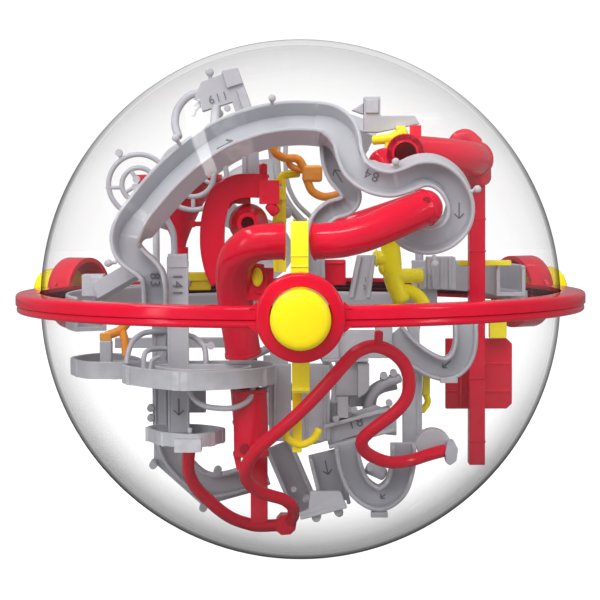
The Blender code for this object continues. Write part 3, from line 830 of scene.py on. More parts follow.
# ---------------------------------------------------------------- grey tracks
ARC_CENTRE = Vector((0, -59, 6))
ARC_RADIUS = 61.3
ARC_WIDTH = 14.0
ARC_DEPTH = 7.5
ARC_TILT = math.radians(40)
LEG_83 = [
    (-47.5, -59, 45.4), (-53.5, -59, 38.6), (-57.9, -59, 32.8), (-60.4, -59, 27.9),
    (-61.2, -58.6, 23.8), (-60.2, -58, 19.9), (-57.3, -57.5, 16.9), (-54.1, -57, 14.2),
    (-52, -56.5, 11), (-51.4, -55, 6.5), (-51.5, -52.5, 1.5), (-51.5, -51, -4),
]
LEG_83_WIDTH = 9.0
S_TRACK = [
    (5.3, -59, 67.1), (10, -59.2, 66), (14, -59.8, 62.9), (16.2, -60.8, 58.8),
    (17.2, -62.2, 54), (19.2, -63.5, 49), (22.8, -64.4, 45.8), (27.2, -65, 43.9),
    (32, -65, 43.4), (37, -64, 44.8),
    (42.5, -62, 46.8), (48, -60, 46.3), (53, -59, 42.5), (56, -58, 36), (55, -58, 29.5),
    (50.5, -60, 25), (44.5, -61, 23.4), (38.5, -62, 25), (34.5, -62, 29),
]
LEG_141 = [(-43.6, -42, 19), (-43.6, -42, -12), (-43.6, -42, -45)]
CHANNEL_18 = [(9, -47, -46.8), (33, -47, -40.4)]

# node: (points through the middle of the rim, open side, width, depth)
TRACKS = {
    "branch_track": (
        [
            (10.6, -52, 60), (11.2, -52, 52), (13.2, -52, 46.5), (16.6, -52, 42.4),
            (18, -52, 39), (16.2, -52, 36), (10.6, -52, 34), (6.6, -52, 29.5), (5, -52, 20),
            (5, -52, 10.5),
        ],
        FRONT, 7.6, 6,
    ),
    "v_track": (
        [
            (-49.8, -16, -45), (-49.7, -16, -52.5), (-47.6, -16, -58.2), (-43.4, -16, -63.2),
            (-38.6, -16, -67.4), (-33.2, -16, -69.2), (-27.2, -16, -68.4), (-20.5, -16, -66.5),
            (-13, -16, -64.4),
        ],
        FRONT, 9, 6,
    ),
    "u_track_low": (
        [
            (16.3, -52, -50), (17.5, -51, -57), (21.1, -49.5, -65), (27.7, -48.5, -69),
            (33.6, -49.5, -65.2), (36.2, -51, -57.1), (36.4, -52, -49.8),
        ],
        FRONT, 9, 6.5,
    ),
    "u_track_right": (
        [
            (33.5, -45, -10), (38, -45, -15.2), (43.5, -45, -19.6), (49, -45, -22.4),
            (53.2, -45, -22.6), (57, -45, -19.8), (59, -45, -14.3), (59.2, -45, -6.5),
        ],
        FRONT, 8.6, 6.5,
    ),
    "s_track_rear": (
        [
            (-8, 60, 50), (-20, 61, 48.5), (-30, 61, 42), (-31, 62, 33.5), (-22, 64, 28),
            (-11, 67, 23), (-8, 68, 14.5), (-16, 68, 8), (-28, 66, 6),
        ],
        REAR, 9.6, 7,
    ),
    "u_track_rear": (
        [
            (-10, 58, -34), (-12, 57, -44), (-8, 55, -53), (2, 54, -57.5), (12, 54, -54),
            (17, 56, -45), (17, 58, -34),
        ],
        REAR, 9.6, 6.5,
    ),
}

# node: (radius, first angle, last angle, rim height, width, depth)
GALLERIES = {
    "gallery_left": (83, 203, 135, 2.5, 12, 12),
    "gallery_right": (80, -2, 52, 12, 11, 11),
    "gallery_rear": (80, 57, 130, -2, 11, 8),
}


def arc_out(place):
    """The big arc leans back: it opens towards the front and away from the arc's centre."""
    away = Vector((place.x, 0, place.z - ARC_CENTRE.z)).normalized()
    side = math.copysign(1, place.y)
    return away * math.sin(ARC_TILT) + Vector((0, side, 0)) * math.cos(ARC_TILT)


def bead(bm, route, out, width, offset=0, radius=0.75):
    """A rounded bead along both rims of a track."""
    last = len(route) - 1
    for side_sign in (-1, 1):
        line = []
        for i, (place, (_, side, up)) in enumerate(zip(route, out_vectors(route, out))):
            wide = width(i / last) if callable(width) else width
            line.append(place + side * side_sign * (wide / 2 - TRACK_WALL / 2) + up * offset)
        rod(line, radius, bm, sides=8)


def peg(bm, place, towards, facing=FRONT, radius=1.3, length=3):
    """A small round peg that stands on a neck beside a rim."""
    place = Vector(place)
    facing = Vector(facing).normalized()
    rod([place - facing * length * 0.6, place + facing * length * 0.4], radius, bm, sides=14)
    neck = Vector(towards) - place
    rod([place, place + neck], radius * 0.55, bm, sides=8)


def arc_and_leg_out(place):
    """The arc's open side, turning to the front as it runs into its leg."""
    share = min(max((place.z - 17) / 18, 0), 1)
    return (arc_out(place) * share + FRONT * (1 - share)).normalized()


def s_track_out(place):
    """The S track starts with the arc's lean and turns over into its own bank."""
    share = min(max((place.z - 52) / 15, 0), 1)
    return (arc_out(place) * share + BANKED * (1 - share)).normalized()


def narrowing(wide, narrow, start, end):
    """A rule for a width that goes smoothly from wide to narrow between two shares of the way."""
    def width(share):
        step = min(max((share - start) / (end - start), 0), 1)
        step = step * step * (3 - 2 * step)
        return wide + (narrow - wide) * step
    return width


def nearest_share(route, place):
    """How far along a route its point nearest to a place is, from 0 to 1."""
    place = Vector(place)
    gaps = [(point - place).length for point in route]
    return gaps.index(min(gaps)) / (len(route) - 1)


def make_arc():
    corners = upright_arc(ARC_CENTRE, ARC_RADIUS, 84.4, 133.5, 6)
    rim = smooth_route([*corners, *LEG_83], 6)
    width = narrowing(ARC_WIDTH, LEG_83_WIDTH, 0.42, 0.80)
    arc = sweep(rim, lambda share: u_section(width(share), ARC_DEPTH), arc_and_leg_out)
    bead(arc, rim, arc_and_leg_out, width)
    peg(arc, (-9.5, -62, 73.2), (-9.5, -60, 70.5))
    peg(arc, (-43, -62, 59.6), (-41.6, -60, 57.2))
    peg(arc, (-67.2, -58, 16.2), (-64.5, -58, 16.5))
    moulded("arc_track", arc)
    share = nearest_share(rim, (-27.5, -59, 60.6))
    place, along, up = on_floor(rim, arc_and_leg_out, share, ARC_DEPTH)
    arrow("arc_arrow", place + up * 0.4, -along, up, 6.3)
    share = nearest_share(rim, (-51.7, -55.5, 8.4))
    place, _, up = on_floor(rim, arc_and_leg_out, share, ARC_DEPTH)
    number("number_83", "83", place + up * 0.4, (0, 0, -1), up, 3.7)
    rear = upright_arc(Vector((0, 54, 6)), 64, 160, 62, 40)
    arc = sweep(rear, u_section(ARC_WIDTH, ARC_DEPTH), arc_out)
    bead(arc, rear, arc_out, ARC_WIDTH)
    moulded("arc_track_rear", arc)


def make_s_track():
    route = smooth_route(S_TRACK, 6)
    width = narrowing(ARC_WIDTH, 10, 0.04, 0.22)
    track = sweep(route, lambda share: u_section(width(share), 7), s_track_out)
    bead(track, route, s_track_out, width)
    peg(track, (33, -66, 51), (33.6, -65, 48.2))
    peg(track, (61.8, -59, 41.5), (59.2, -59, 40.5))
    peg(track, (46.8, -61, 15.6), (46.6, -61, 18.4))
    moulded("s_track_84", track)
    share = nearest_share(route, (23.3, -64.5, 45.4))
    place, _, up = on_floor(route, s_track_out, share, 7)
    number("number_84", "84", place, (-0.95, 0, 0.32), up, 3.7)
    share = nearest_share(route, (55.4, -58, 33.6))
    place, _, up = on_floor(route, s_track_out, share, 7)
    arrow("s_track_arrow", place, (0, 0, -1), up, 5.6)


def make_leg_141():
    route = smooth_route(LEG_141, 10)
    leg = sweep(route, u_section(7, 6), REAR)
    for x in (-47, -40.2):
        sweep([(x, -48.2, 17), (x, -48.2, -45)], bar_section(0.9, 0.9), FRONT, leg)
    plate([(-47.4, 14), (-39.9, 14)] + corner((-42.6, 15.9), 2.7, 0, 90, 6)
          + corner((-46.2, 17.4), 1.2, 90, 180, 4), -48.4, -43, leg)
    moulded("leg_141", leg)
    number("number_141", "141", (-43.8, -48.5, 8.2), (0, 0, -1), FRONT, 3.7)
    arrow("leg_dash", (-43.6, -48.15, 0.2), (0, 0, -1), FRONT, 1.6)
    arrow("leg_arrow", (-43.6, -48.15, -35.5), (0, 0, -1), FRONT, 6)


def inset(loop, distance):
    """A closed plan loop moved inwards; its own turning decides which side is in."""
    count = len(loop)
    area = sum(loop[i - 1].x * loop[i].y - loop[i].x * loop[i - 1].y for i in range(count))
    sign = 1 if area > 0 else -1
    moved = []
    for i, place in enumerate(loop):
        along = (loop[(i + 1) % count] - loop[i - 1]).normalized()
        moved.append(place + Vector((-along.y, along.x, 0)) * sign * distance)
    return moved


def wall_loop(loop, low, high, thickness, bm):
    """An upright wall round a closed plan loop."""
    inner = inset(loop, thickness)
    rounded = high - RIM_ROUND
    levels = (
        (loop, low), (loop, rounded), (inset(loop, RIM_ROUND), high),
        (inset(loop, thickness - RIM_ROUND), high), (inner, rounded), (inner, low),
    )
    rings = [[bm.verts.new((p.x, p.y, height)) for p in points] for points, height in levels]
    skin(bm, rings, closed=True)


def slab(loop, low, high, bm):
    """A flat floor that fills a closed plan loop."""
    under = [bm.verts.new((p.x, p.y, low)) for p in loop]
    over = [bm.verts.new((p.x, p.y, high)) for p in loop]
    skin(bm, [under, over])
    bm.faces.new(under)
    bm.faces.new(over)


def rib(place, out, low, high, bm, wide=2.2, proud=1):
    """An upright rib on a wall's outer face."""
    foot = Vector((place[0], place[1], low))
    sweep([foot, foot + Vector((0, 0, high - low))], bar_section(wide, proud + 0.8),
          Vector(out).normalized(), bm)


# Plan outlines of the three walled trays that bulge towards the front: x and y of the outer wall.
LOOP_STEPS = 5
RIM_ROUND = 0.25
FRONT_TRAY = [
    (-63.2, -49), (-61.6, -57), (-54.6, -67.6), (-46.5, -76.2), (-39.7, -80.2), (-31.7, -80),
    (-23.6, -76.6), (-15.6, -69.8), (-10.2, -61.4), (-8.6, -53.6), (-9.8, -45.4), (-13.2, -39.6),
    (-18, -37.6), (-30, -37.5), (-45, -38.5), (-57.5, -41.5),
]
FRONT_ISLAND = [
    (-52, -52), (-44, -66), (-33, -70), (-22, -66.5), (-17.5, -57), (-20, -49), (-34, -47.5),
    (-47, -47),
]
LEFT_TRAY = [
    (-84.6, -22), (-83.2, -31), (-78.7, -41), (-73.4, -45), (-64.1, -45.4), (-58.4, -42),
    (-58, -32), (-62, -20), (-69, -8), (-78, -8),
]
LOW_TRAY = [
    (-55.2, -46), (-53, -53.2), (-49.5, -60.4), (-43.6, -65.6), (-36.5, -67.4), (-31.6, -63.5),
    (-28, -55.5), (-27, -50.5), (-30.6, -45), (-37, -39.6), (-46, -38), (-52.5, -40.5),
]


def add_tray(outline, low, high, bm):
    """A wall round an outline with a floor inside it."""
    loop = closed_route(outline, LOOP_STEPS)
    wall_loop(loop, low, high, 1.3, bm)
    slab(inset(loop, 0.6), low + 0.1, low + 1.4, bm)


def make_trays():
    bm = bmesh.new()
    add_tray(FRONT_TRAY, -26.4, -19.9, bm)
    wall_loop(closed_route(FRONT_ISLAND, LOOP_STEPS), -25.2, -20.2, 1.1, bm)
    for place, out in (
        ((-62.6, -53), (-1, -0.3, 0)), ((-60.6, -60), (-0.8, -0.6, 0)),
        ((-42.6, -79.2), (-0.35, -1, 0)), ((-39.6, -80.4), (-0.1, -1, 0)),
        ((-12.6, -66), (0.8, -0.8, 0)), ((-8.9, -57), (1, -0.3, 0)),
    ):
        rib(place, out, -26.5, -20.2, bm)
    moulded("gallery_front", bm, edge=0)

    bm = bmesh.new()
    add_tray(LEFT_TRAY, -25.8, -19.6, bm)
    block((-72.8, -36, -24.6), (-60.5, -24, -20.8), bm)
    for place, out in (
        ((-84.9, -25), (-1, -0.1, 0)), ((-81.4, -36.2), (-1, -0.5, 0)),
        ((-66.5, -45.4), (0, -1, 0)),
    ):
        rib(place, out, -25.9, -19.9, bm)
    moulded("platform_left", bm, edge=0)

    bm = bmesh.new()
    add_tray(LOW_TRAY, -47.6, -42.8, bm)
    block((-43.8, -69.6, -49), (-34.6, -62, -44.4), bm)
    block((-49, -61.8, -47.9), (-47.2, -58.6, -43.2), bm)
    for place, out in (
        ((-55.6, -47.5), (-1, -0.1, 0)), ((-31, -62.8), (0.8, -0.8, 0)),
        ((-27.4, -54), (1, -0.2, 0)),
    ):
        rib(place, out, -47.8, -43, bm, wide=2.6)
    peg(bm, (-38.6, -66, -41.6), (-38.6, -66, -43.4), TOP, 0.8, 1.2)
    moulded("tray_low", bm, edge=0)


def make_tracks():
    for node, (points, out, width, depth) in TRACKS.items():
        route = smooth_route(points, 7)
        track = sweep(route, u_section(width, depth), out)
        bead(track, route, out, width, radius=0.72)
        moulded(node, track)
    for node, (radius, start, end, height, width, depth) in GALLERIES.items():
        steps = int(abs(end - start) / 2)
        route = level_arc(radius, start, end, height, steps)
        gallery = sweep(route, u_section(width, depth), TOP)
        bead(gallery, route, TOP, width, radius=0.72)
        moulded(node, gallery)


def make_gallery_ribs():
    """Upright ribs on the left gallery's outer wall."""
    ribs = bmesh.new()
    radius, start, _, height, width, depth = GALLERIES["gallery_left"]
    outer = radius + width / 2
    for turn in (1.5, 8, 24, 40):
        a = math.radians(start - turn)
        foot = Vector((outer * math.cos(a), outer * math.sin(a), height - depth + 0.2))
        sweep([foot, foot + Vector((0, 0, depth - 0.6))], bar_section(1.8, 0.9),
              Vector((math.cos(a), math.sin(a), 0)), ribs)
    piece("gallery_ribs", ribs, edge=0.25)


def make_small_tracks():
    channel = sweep([(8.1, -46, -54), (12.6, -42, -73)], u_section(11, 6), FRONT)
    discs(((5.6, -76), (13.6, -74.6)), 1.5, -44.5, -41, channel)
    moulded("arrow_channel", channel)
    slope = Vector((4.5, 4, -19)).normalized()
    normal = (FRONT - slope * FRONT.dot(slope)).normalized()
    arrow("channel_arrow", Vector((9.4, -44.9, -59.5)) - normal * 4.4, slope, normal, 5.4)
    post = block((-72.6, -39, -26.3), (-68.2, -34.8, -12.5))
    piece("platform_post", post, edge=0.6)


def ring_line(centre, radius, turns=48):
    angles = [math.tau * i / turns for i in range(turns)]
    middle = Vector(centre)
    return [middle + Vector((radius * math.cos(a), 0, radius * math.sin(a))) for a in angles]


def add_rings(centre, radii, thickness, bm):
    for radius in radii:
        rod(ring_line(centre, radius), thickness, bm, closed=True, sides=12)


def add_spokes(y, spokes, thickness, bm):
    """Thin bars in a plane that faces the front, each from one (x, z) place to another."""
    for start, end in spokes:
        rod([(start[0], y, start[1]), (end[0], y, end[1])], thickness, bm)


def make_targets():
    bm = bmesh.new()
    add_rings((-60.6, -8, 43.9), (11.3, 6.3), 0.98, bm)
    add_spokes(-8, (
        ((-72.6, 42.8), (-66.8, 42.8)), ((-63.6, 49.4), (-61.8, 46.4)),
        ((-67.9, 55.4), (-66.4, 53)), ((-61.8, 43.2), (-65.6, 41)),
    ), 0.75, bm)
    for x, z, radius in ((-67.9, 55.8, 1.35), (-61.4, 45.8, 1.4), (-61.9, 43, 1.3)):
        disc((x, z), radius, -9.4, -6.6, bm)
    rod([(-54.2, -8, 34.6), (-54.2, -8, 6)], 1.3, bm)
    piece("target_left_moulded", bm, GREY, "target_rings", edge=0)

    bm = bmesh.new()
    add_rings((-41, 6, 47.1), (12.9, 7.9), 1.05, bm)
    add_spokes(6, (
        ((-41, 59.8), (-41, 54.8)), ((-41, 34.4), (-41, 39.4)),
        ((-33.4, 43.9), (-38.4, 46.4)), ((-41.6, 50.2), (-38.6, 46.6)),
    ), 0.8, bm)
    disc((-38.6, 46.6), 1.5, 4.5, 7.5, bm)
    stalk = [(-53.6, 6, 37), (-51.6, 6, 31.5), (-48.8, 6, 25.5), (-48.3, 6, 16)]
    rod(stalk, 1.25, bm, smooth=6)
    piece("target_rear_moulded", bm, GREY, "target_rings_rear", edge=0)


def make_grey_blocks():
    outline = [
        (-38.5, 74.6), (-35.8, 81), (-28.6, 83.6), (-28, 85), (-22.5, 86),
        (-17, 70.5), (-23, 69), (-24.6, 73.6), (-35.5, 70.2), (-36.6, 74),
    ]
    bm = plate(outline, -28, -21)
    plate([(-28.3, 85), (-22.6, 86), (-20.6, 80.4), (-26.4, 78.6)], -29.6, -28.2, bm)
    plate([(-22.9, 77.8), (-20, 78.8), (-17.2, 70.6), (-20.3, 69.9)], -29.3, -28.2, bm)
    outer = [
        (-35, -25, 77.4), (-40.5, -25, 76), (-44.5, -25, 71.5), (-45.5, -27, 66), (-44, -31, 61),
    ]
    rod(outer, 1.45, bm, smooth=8)
    rod([(-34, -25, 73.6), (-37.4, -25, 72.3), (-39.5, -25, 69)], 1.3, bm, smooth=6)
    peg(bm, (-32.8, -26, 84.6), (-32.4, -26, 81.5), radius=1.5)
    peg(bm, (-29.4, -26, 69.6), (-29.8, -26, 72.6), radius=1.5)
    disc((-26.4, 71.4), 1.2, -29.2, -26, bm)
    moulded("block_119", bm, edge=0.3)
    number("number_119", "119", (-29.7, -28.2, 75.4), (-0.96, 0, -0.27), FRONT, 3.3)

    bracket = [
        (23.5, 62.5), (29, 62.5), (44, 65.5), (42, 68.5), (29.5, 68.5), (29.5, 75.5), (23.5, 75.5),
    ]
    bm = plate(bracket, -26, -18)
    plate([(19, 70.6), (23.4, 73.4), (23.4, 69)], -25, -20, bm)
    plate([(24.2, 74.6), (28.8, 74.6), (28.8, 69.4), (24.2, 69.4)], -27, -26.1, bm)
    moulded("bracket_top", bm, edge=0.35)

    bm = plate([(17, 2), (20.4, 18), (27, 18), (25, 2)], -44, -38)
    plate([(17.4, 3), (20.7, 18), (22, 18), (18.8, 3)], -45.4, -44.1, bm)
    plate([(23.6, 3), (25.6, 18), (26.8, 18), (24.8, 3)], -45.4, -44.1, bm)
    moulded("number_post", bm, edge=0.3)
    number("number_2", "2", (22.9, -44.1, 6.6), (1, 0, 0.1), FRONT, 1.8)
    number("number_1", "1", (23.3, -44.1, 9.4), (1, 0, 0.1), FRONT, 1.8)

    bm = block((47, -20, 4.5), (57.5, -10, 16.5))
    for x in (49.2, 52.3, 55.4):
        block((x - 0.5, -20.7, 5), (x + 0.5, -19.9, 16), bm)
    moulded("tower", bm, edge=0.3)

    bm = block((-11.5, -45, -48.5), (-3.5, -39, -21))
    block((0, -45, -48.5), (10.4, -39, -21), bm)
    block((-6, -43, -34), (3, -40.5, -28), bm)
    sweep(CHANNEL_18, u_section(9, 7), FRONT, bm)
    discs(((19, -37), (31.5, -34.6), (12.5, -40.2)), 1.2, -48.4, -45, bm)
    for x in (-9.5, 2, 8.6):
        block((x - 0.4, -45.7, -48), (x + 0.4, -44.9, -22), bm)
    moulded("columns_front", bm, edge=0.3)
    number("number_18", "18", (19.6, -43.15, -42.3), (0.96, 0, 0.26), FRONT, 3.9)

    bm = block((37, -37, -51.5), (44, -32, -16.5))
    block((36.4, -37.4, -26), (44.6, -36.9, -24.8), bm)
    block((42, -37.6, -50), (42.8, -36.9, -18), bm)
    moulded("column_right", bm, edge=0.3)


def make_grey_wires():
    hoop = [
        (-61.7, -52, -19.6), (-61.4, -50, -16.6), (-60, -46, -12.3), (-57.3, -40, -10.1),
        (-53.9, -38, -9.4), (-47.5, -36, -9.5), (-40.5, -38, -10.8), (-37.5, -40, -11.9),
        (-34.8, -42, -14.5), (-34, -44, -17.9), (-33.9, -46, -24),
    ]
    bm = rod(hoop, 0.98, smooth=7)
    disc((-32.2, -14.1), 1.4, -43.6, -40.4, bm)
    rod([(-34.6, -42, -14.1), (-32.4, -42, -14.1)], 0.7, bm)
    moulded("arch_rod", bm, edge=0)
    hoop = [
        (-39, -66, -26.5), (-37.1, -68, -30.3), (-33.6, -70, -32.6), (-29.5, -70, -33.5),
        (-24, -70, -33.6), (-19.9, -68, -32.4), (-17.5, -66, -30.4), (-16.6, -64, -26.8),
    ]
    moulded("loop_rod", rod(hoop, 0.98, smooth=8), edge=0)
    low_hoop = [
        (-55.3, -56, -22), (-55.3, -54, -17), (-54.2, -50, -15.2), (-50.6, -44, -15),
        (-46.5, -42, -15.3),
    ]
    small = rod(low_hoop, 0.9, smooth=6)
    rod([(-53.2, -55, -21.4), (-52.6, -53, -18.6), (-50.4, -50, -17.6)], 0.8, small, smooth=6)
    piece("arch_small", small, edge=0)
    line = [(-8.5, -5, 62), (-8.8, -5, 52), (-7.6, -5, 43), (-4, -5, 35.5), (1.5, -5, 29)]
    wire = rod(line, 1.5, smooth=8)
    line = [(-5.2, -5, 62), (-5.4, -5, 52), (-4.6, -5, 44), (-1.4, -5, 37), (4, -5, 31.5)]
    rod(line, 0.9, wire, smooth=8)
    piece("rear_wires", wire, edge=0)
    wire = rod([(-12, -20, -12), (-10, -20, -20), (-11, -20, -33)], 1.3, smooth=6)
    piece("inner_wire", wire, edge=0)


# ---------------------------------------------------------------- red pieces
# node: (points along the middle, outer radius)
TUBES = {
    "elbow_tube": (
        [
            (-5.4, -71.2, 23.9), (-10.9, -71.6, 23.8), (-15.5, -71, 23.2), (-19.2, -69, 21.2),
            (-21.8, -66, 18.2), (-23, -62.5, 14.2), (-23.3, -58.5, 9), (-22.9, -55, 2.4),
            (-21.8, -51.5, -6.4), (-20.4, -49, -16.8),
        ],
        6.3,
    ),
    "lower_tube": ([(-18, -60, -28), (-17.6, -60, -40), (-17.5, -60, -51.5)], 6.1),
    "curved_tube": (
        [
            (4.7, -75.8, 23.9), (8.6, -76.8, 24.1), (14.2, -77, 24.6), (21.6, -76, 26.4),
            (28.5, -74, 29), (35.5, -71.5, 32), (41, -69, 34.4), (43.6, -67.8, 35.2),
        ],
        6.2,
    ),
    "horn_tube": (
        [
            (37, -54, 54.2), (37.6, -49, 54.3), (40.2, -44, 54.2), (46, -40, 53.9),
            (53.5, -34, 53.4), (60.5, -26, 52.9), (65.5, -15, 52.6),
        ],
        6.5,
    ),
    "tube_rear_upper": (
        [(12, 74, 24), (22, 72, 26), (33, 67, 29.5), (43, 60, 33), (51, 52, 36)],
        6,
    ),
    "tube_rear_lower": ([(-24, 66, -19), (-24, 64, -32), (-23, 60, -44), (-22, 56, -54)], 6),
}

S_SLIDE = [
    (51.3, -51, -51.2), (45.2, -52.5, -52.6), (38.6, -55, -54.2), (31.4, -59, -54.3),
    (25.6, -63, -52), (21.6, -67, -48.6), (20.9, -70.5, -45), (23, -72.5, -42),
    (26.8, -74.5, -38.7), (31.9, -76.5, -34.6), (35.7, -78, -29.8), (36.7, -80, -24.2),
    (35.5, -82, -18.8), (32.3, -84, -14.6), (27.8, -86, -11.8), (23.4, -86.6, -11.2),
    (18.7, -87, -13.1), (14.7, -87, -17), (10, -86.5, -22.5), (3.2, -84.5, -30),
    (-3.6, -82, -36.8), (-9.7, -79, -42.3), (-14.6, -76, -47), (-17.9, -72.5, -51.6),
    (-19.3, -69, -56), (-18.3, -64.5, -60.3), (-15.2, -60, -63.9), (-10.9, -55.5, -66.3),
    (-6.2, -51, -68.5), (-3.3, -46.5, -71.6), (-2.7, -41, -75.3), (-3.8, -36, -78.7),
]
LOW_SLIDE = [
    (-39.5, -52, -49.5), (-40.2, -50, -55.1), (-40, -46, -60.3), (-37.4, -42, -66.1),
    (-33.5, -38, -70.9), (-29.5, -35, -75.1), (-25, -32, -78.6), (-19.8, -30, -80.8),
    (-15.6, -30, -81.6), (-8, -31, -81.2),
]
C_TRACK = [
    (-11.5, -38, 46.5), (-17.5, -38, 46.8), (-24, -38, 46.2), (-31, -38, 42), (-34.5, -38, 33),
    (-35.3, -38, 22), (-33.8, -38, 13), (-31.5, -38, 7.5),
]
C_CENTRE = Vector((-18, -38, 26))
C_WIDTH = 8.6
DOME_DEPTH = 0.85  # of the tube's radius
LIP = 0.35


def domed_end(bm, route, radius, steps=6, sides=28):
    """Closes a tube's far end with a dome, as on the curved tube."""
    *_, (along, side, up) = carried_vectors(route)
    depth = radius * DOME_DEPTH
    rings = []
    for step in range(steps):
        lean = math.pi / 2 * step / steps
        place = route[-1] + along * depth * math.sin(lean)
        ring = circle(radius * math.cos(lean), sides)
        rings.append([bm.verts.new(place + side * a + up * b) for a, b in ring])
    skin(bm, rings)
    tip = bm.verts.new(route[-1] + along * depth)
    for i in range(sides):
        bm.faces.new((rings[-1][i], rings[-1][(i + 1) % sides], tip))
    bm.faces.new(rings[0])


def make_tubes():
    """A pipe for each tube, with a lip at both ends."""
    routes, meshes = {}, {}
    for node, (points, radius) in TUBES.items():
        route = routes[node] = smooth_route(points, 8)
        bm = meshes[node] = tube(route, radius)
        for lip in (route[:2], route[-2:]):
            tube(lip, radius + LIP, TUBE_WALL + 0.1, bm=bm)
    return routes, meshes


def finish_tubes():
    """Adds what is particular to each tube: collars, seams, a dome, a bell mouth, and dark discs
    that paint the shade in its dimples and a hole.
    """
    routes, meshes = make_tubes()
    domed_end(meshes["curved_tube"], routes["curved_tube"], 6.2)
    bm = meshes["elbow_tube"]
    plate([(-19.5, 3), (-11.3, 3), (-9.4, 8.2), (-9.3, 14.4), (-12.6, 14.4), (-12.6, 15.6),
           (-19.5, 16.4)], -60.6, -57, bm)
    rod([(-20, -49.5, -17.2), (-26.4, -50.5, -17.6)], 1, bm)
    seam = [(-12.2, -60.8, 13), (-11.9, -60.8, 9), (-13.2, -60.8, 6.2), (-15.2, -60.8, 6)]
    rod(seam, 0.7, bm, smooth=5)
    bm = meshes["lower_tube"]
    plate([(-24, -50), (-21.4, -50), (-20.8, -56.5), (-22.6, -56.5)], -61.5, -58.6, bm)
    bm = meshes["horn_tube"]
    tube(routes["horn_tube"][:4], 6.45, 2.5, 32, bm)
    block((39.2, -45, 58), (43.2, -41, 64.3), bm)
    crown = [(57, -12, 57), (59, -12, 60.6), (62.5, -12, 61.4), (66, -12, 58.5)]
    rod(crown, 2.6, bm, sides=20, smooth=6)
    rod([(65.8, -14.5, 52.4), (66.2, -10, 51), (66.5, -8, 45.5)], 5.4, bm, sides=24)
    rod([(29, -36, 53), (32.5, -40, 47.5), (38, -42, 46.5)], 4.6, bm, sides=20, smooth=5)
    for node, bm in meshes.items():
        moulded(node, bm, RED, edge=0.3)
    # Painted shade: dark discs in the curved tube's two dimples and on a hole in the lower tube.
    marks = disc((43, 37.7), 1.25, -74.2, -72)
    disc((45.3, 31.6), 1.25, -73.1, -71, marks)
    disc((-19.6, -48.3), 1.8, -66.5, -64, marks, sides=28)
    piece("tube_hole_shades", marks, "red_painted_hole_shade", edge=0)


def strip_rod(bm, route, radius):
    """A round bar with a raised seam, as moulded slides have."""
    rod(route, radius, bm, sides=16)
    stations = zip(route, out_vectors(route, FRONT))
    seam = [place + side * radius * 0.93 for place, (_, side, _) in stations]
    rod(seam, 0.34, bm, sides=6)


def make_slides():
    bm = bmesh.new()
    route = smooth_route(S_SLIDE, 7)
    strip_rod(bm, route, 2.15)
    rod([(26, -86.8, -10.2), (26.2, -86.8, -6.4)], 1.5, bm)
    moulded("s_slide", bm, RED, edge=0)
    bm = bmesh.new()
    strip_rod(bm, smooth_route(LOW_SLIDE, 8), 2.25)
    box = [
        (-9.2, -78.5), (-7.6, -76.8), (-2.9, -76.9), (-1.8, -79.6), (-2.2, -82.2), (-4, -83.9),
        (-7.4, -84.1), (-9.2, -82.5),
    ]
    plate(box, -36, -29, bm)
    plate([(-18.6, -80.5), (-12.4, -80.5), (-12.3, -56), (-18.6, -56)], -32, -28.6, bm)
    moulded("slide_low", bm, RED, edge=0.3)


def make_c_track():
    def outward(place):
        return place - C_CENTRE

    route = smooth_route(C_TRACK, 8)
    bm = sweep(route, u_section(C_WIDTH, 8), outward)
    bead(bm, route, outward, C_WIDTH, radius=0.7)
    block((-14.6, -43.2, 36.5), (-7.4, -33, 45), bm)
    rod([(-13.2, -38, 47), (-13.2, -38, 50.4)], 1.5, bm)
    rod([(-10.8, -41, 36), (-8.8, -41, 33.6)], 2.1, bm)
    disc((-38.6, 29.5), 1.3, -40.5, -36.5, bm)
    rod([(-38.6, -38.5, 29.5), (-35.6, -38.5, 29.5)], 0.9, bm)
    web = [
        (-31.7, 40.7), (-28, 42.9), (-23, 43.6), (-17.9, 41.4), (-17.9, 36.3), (-24.1, 36.7),
        (-26.3, 33.9), (-27.8, 29.2), (-27.4, 23.4), (-29.3, 19.4), (-31.8, 21.9), (-33.2, 27.7),
        (-33.2, 35),
    ]
    plate(web, -35, -33, bm)
    moulded("c_track", bm, RED, edge=0.35)


def bell_between(outline, steps):
    """Smooths an outline of (radius, height) pairs with a curve through them."""
    route = smooth_route([(r, 0, z) for r, z in outline], steps)
    return [(p.x, p.z) for p in route]


def make_cone_and_funnel():
    cone = bell_between([(3.8, 0), (5.2, 4), (6.6, 7.5), (7.2, 10)], 5)
    cone += bell_between([(5.9, 10), (4.8, 6.4), (3, 3.2), (2.3, 0)], 5)
    to_rear = Matrix.Rotation(-math.pi / 2, 4, "X")
    place = Matrix.Translation(Vector((-18.8, -42, 29.6)) * MM) @ to_rear
    moulded("entry_cone", turned(cone, 40), RED, edge=0.25, place=place)
    # Painted shade: a dark disc inside the cone's narrow end, in place of the shade down its hole.
    piece("entry_cone_hole_shade", disc((-18.8, 29.6), 3.7, -31.8, -30.8, sides=28), "red_painted_hole_shade", edge=0)
    outside = [(2.2, 0), (3.2, 4), (6.5, 12), (10.2, 19), (14.2, 24), (17, 27), (17, 29.5)]
    inside = [(15.6, 29.5), (15.6, 27.6), (12.6, 24), (8.7, 19), (5, 12), (1.9, 4), (1, 0)]
    bell = bell_between(outside, 6) + bell_between(inside, 6)
    place = Matrix.Translation(Vector((-47.6, 26, 18.4)) * MM)
    moulded("funnel", turned(bell, 48), RED, edge=0.3, place=place)


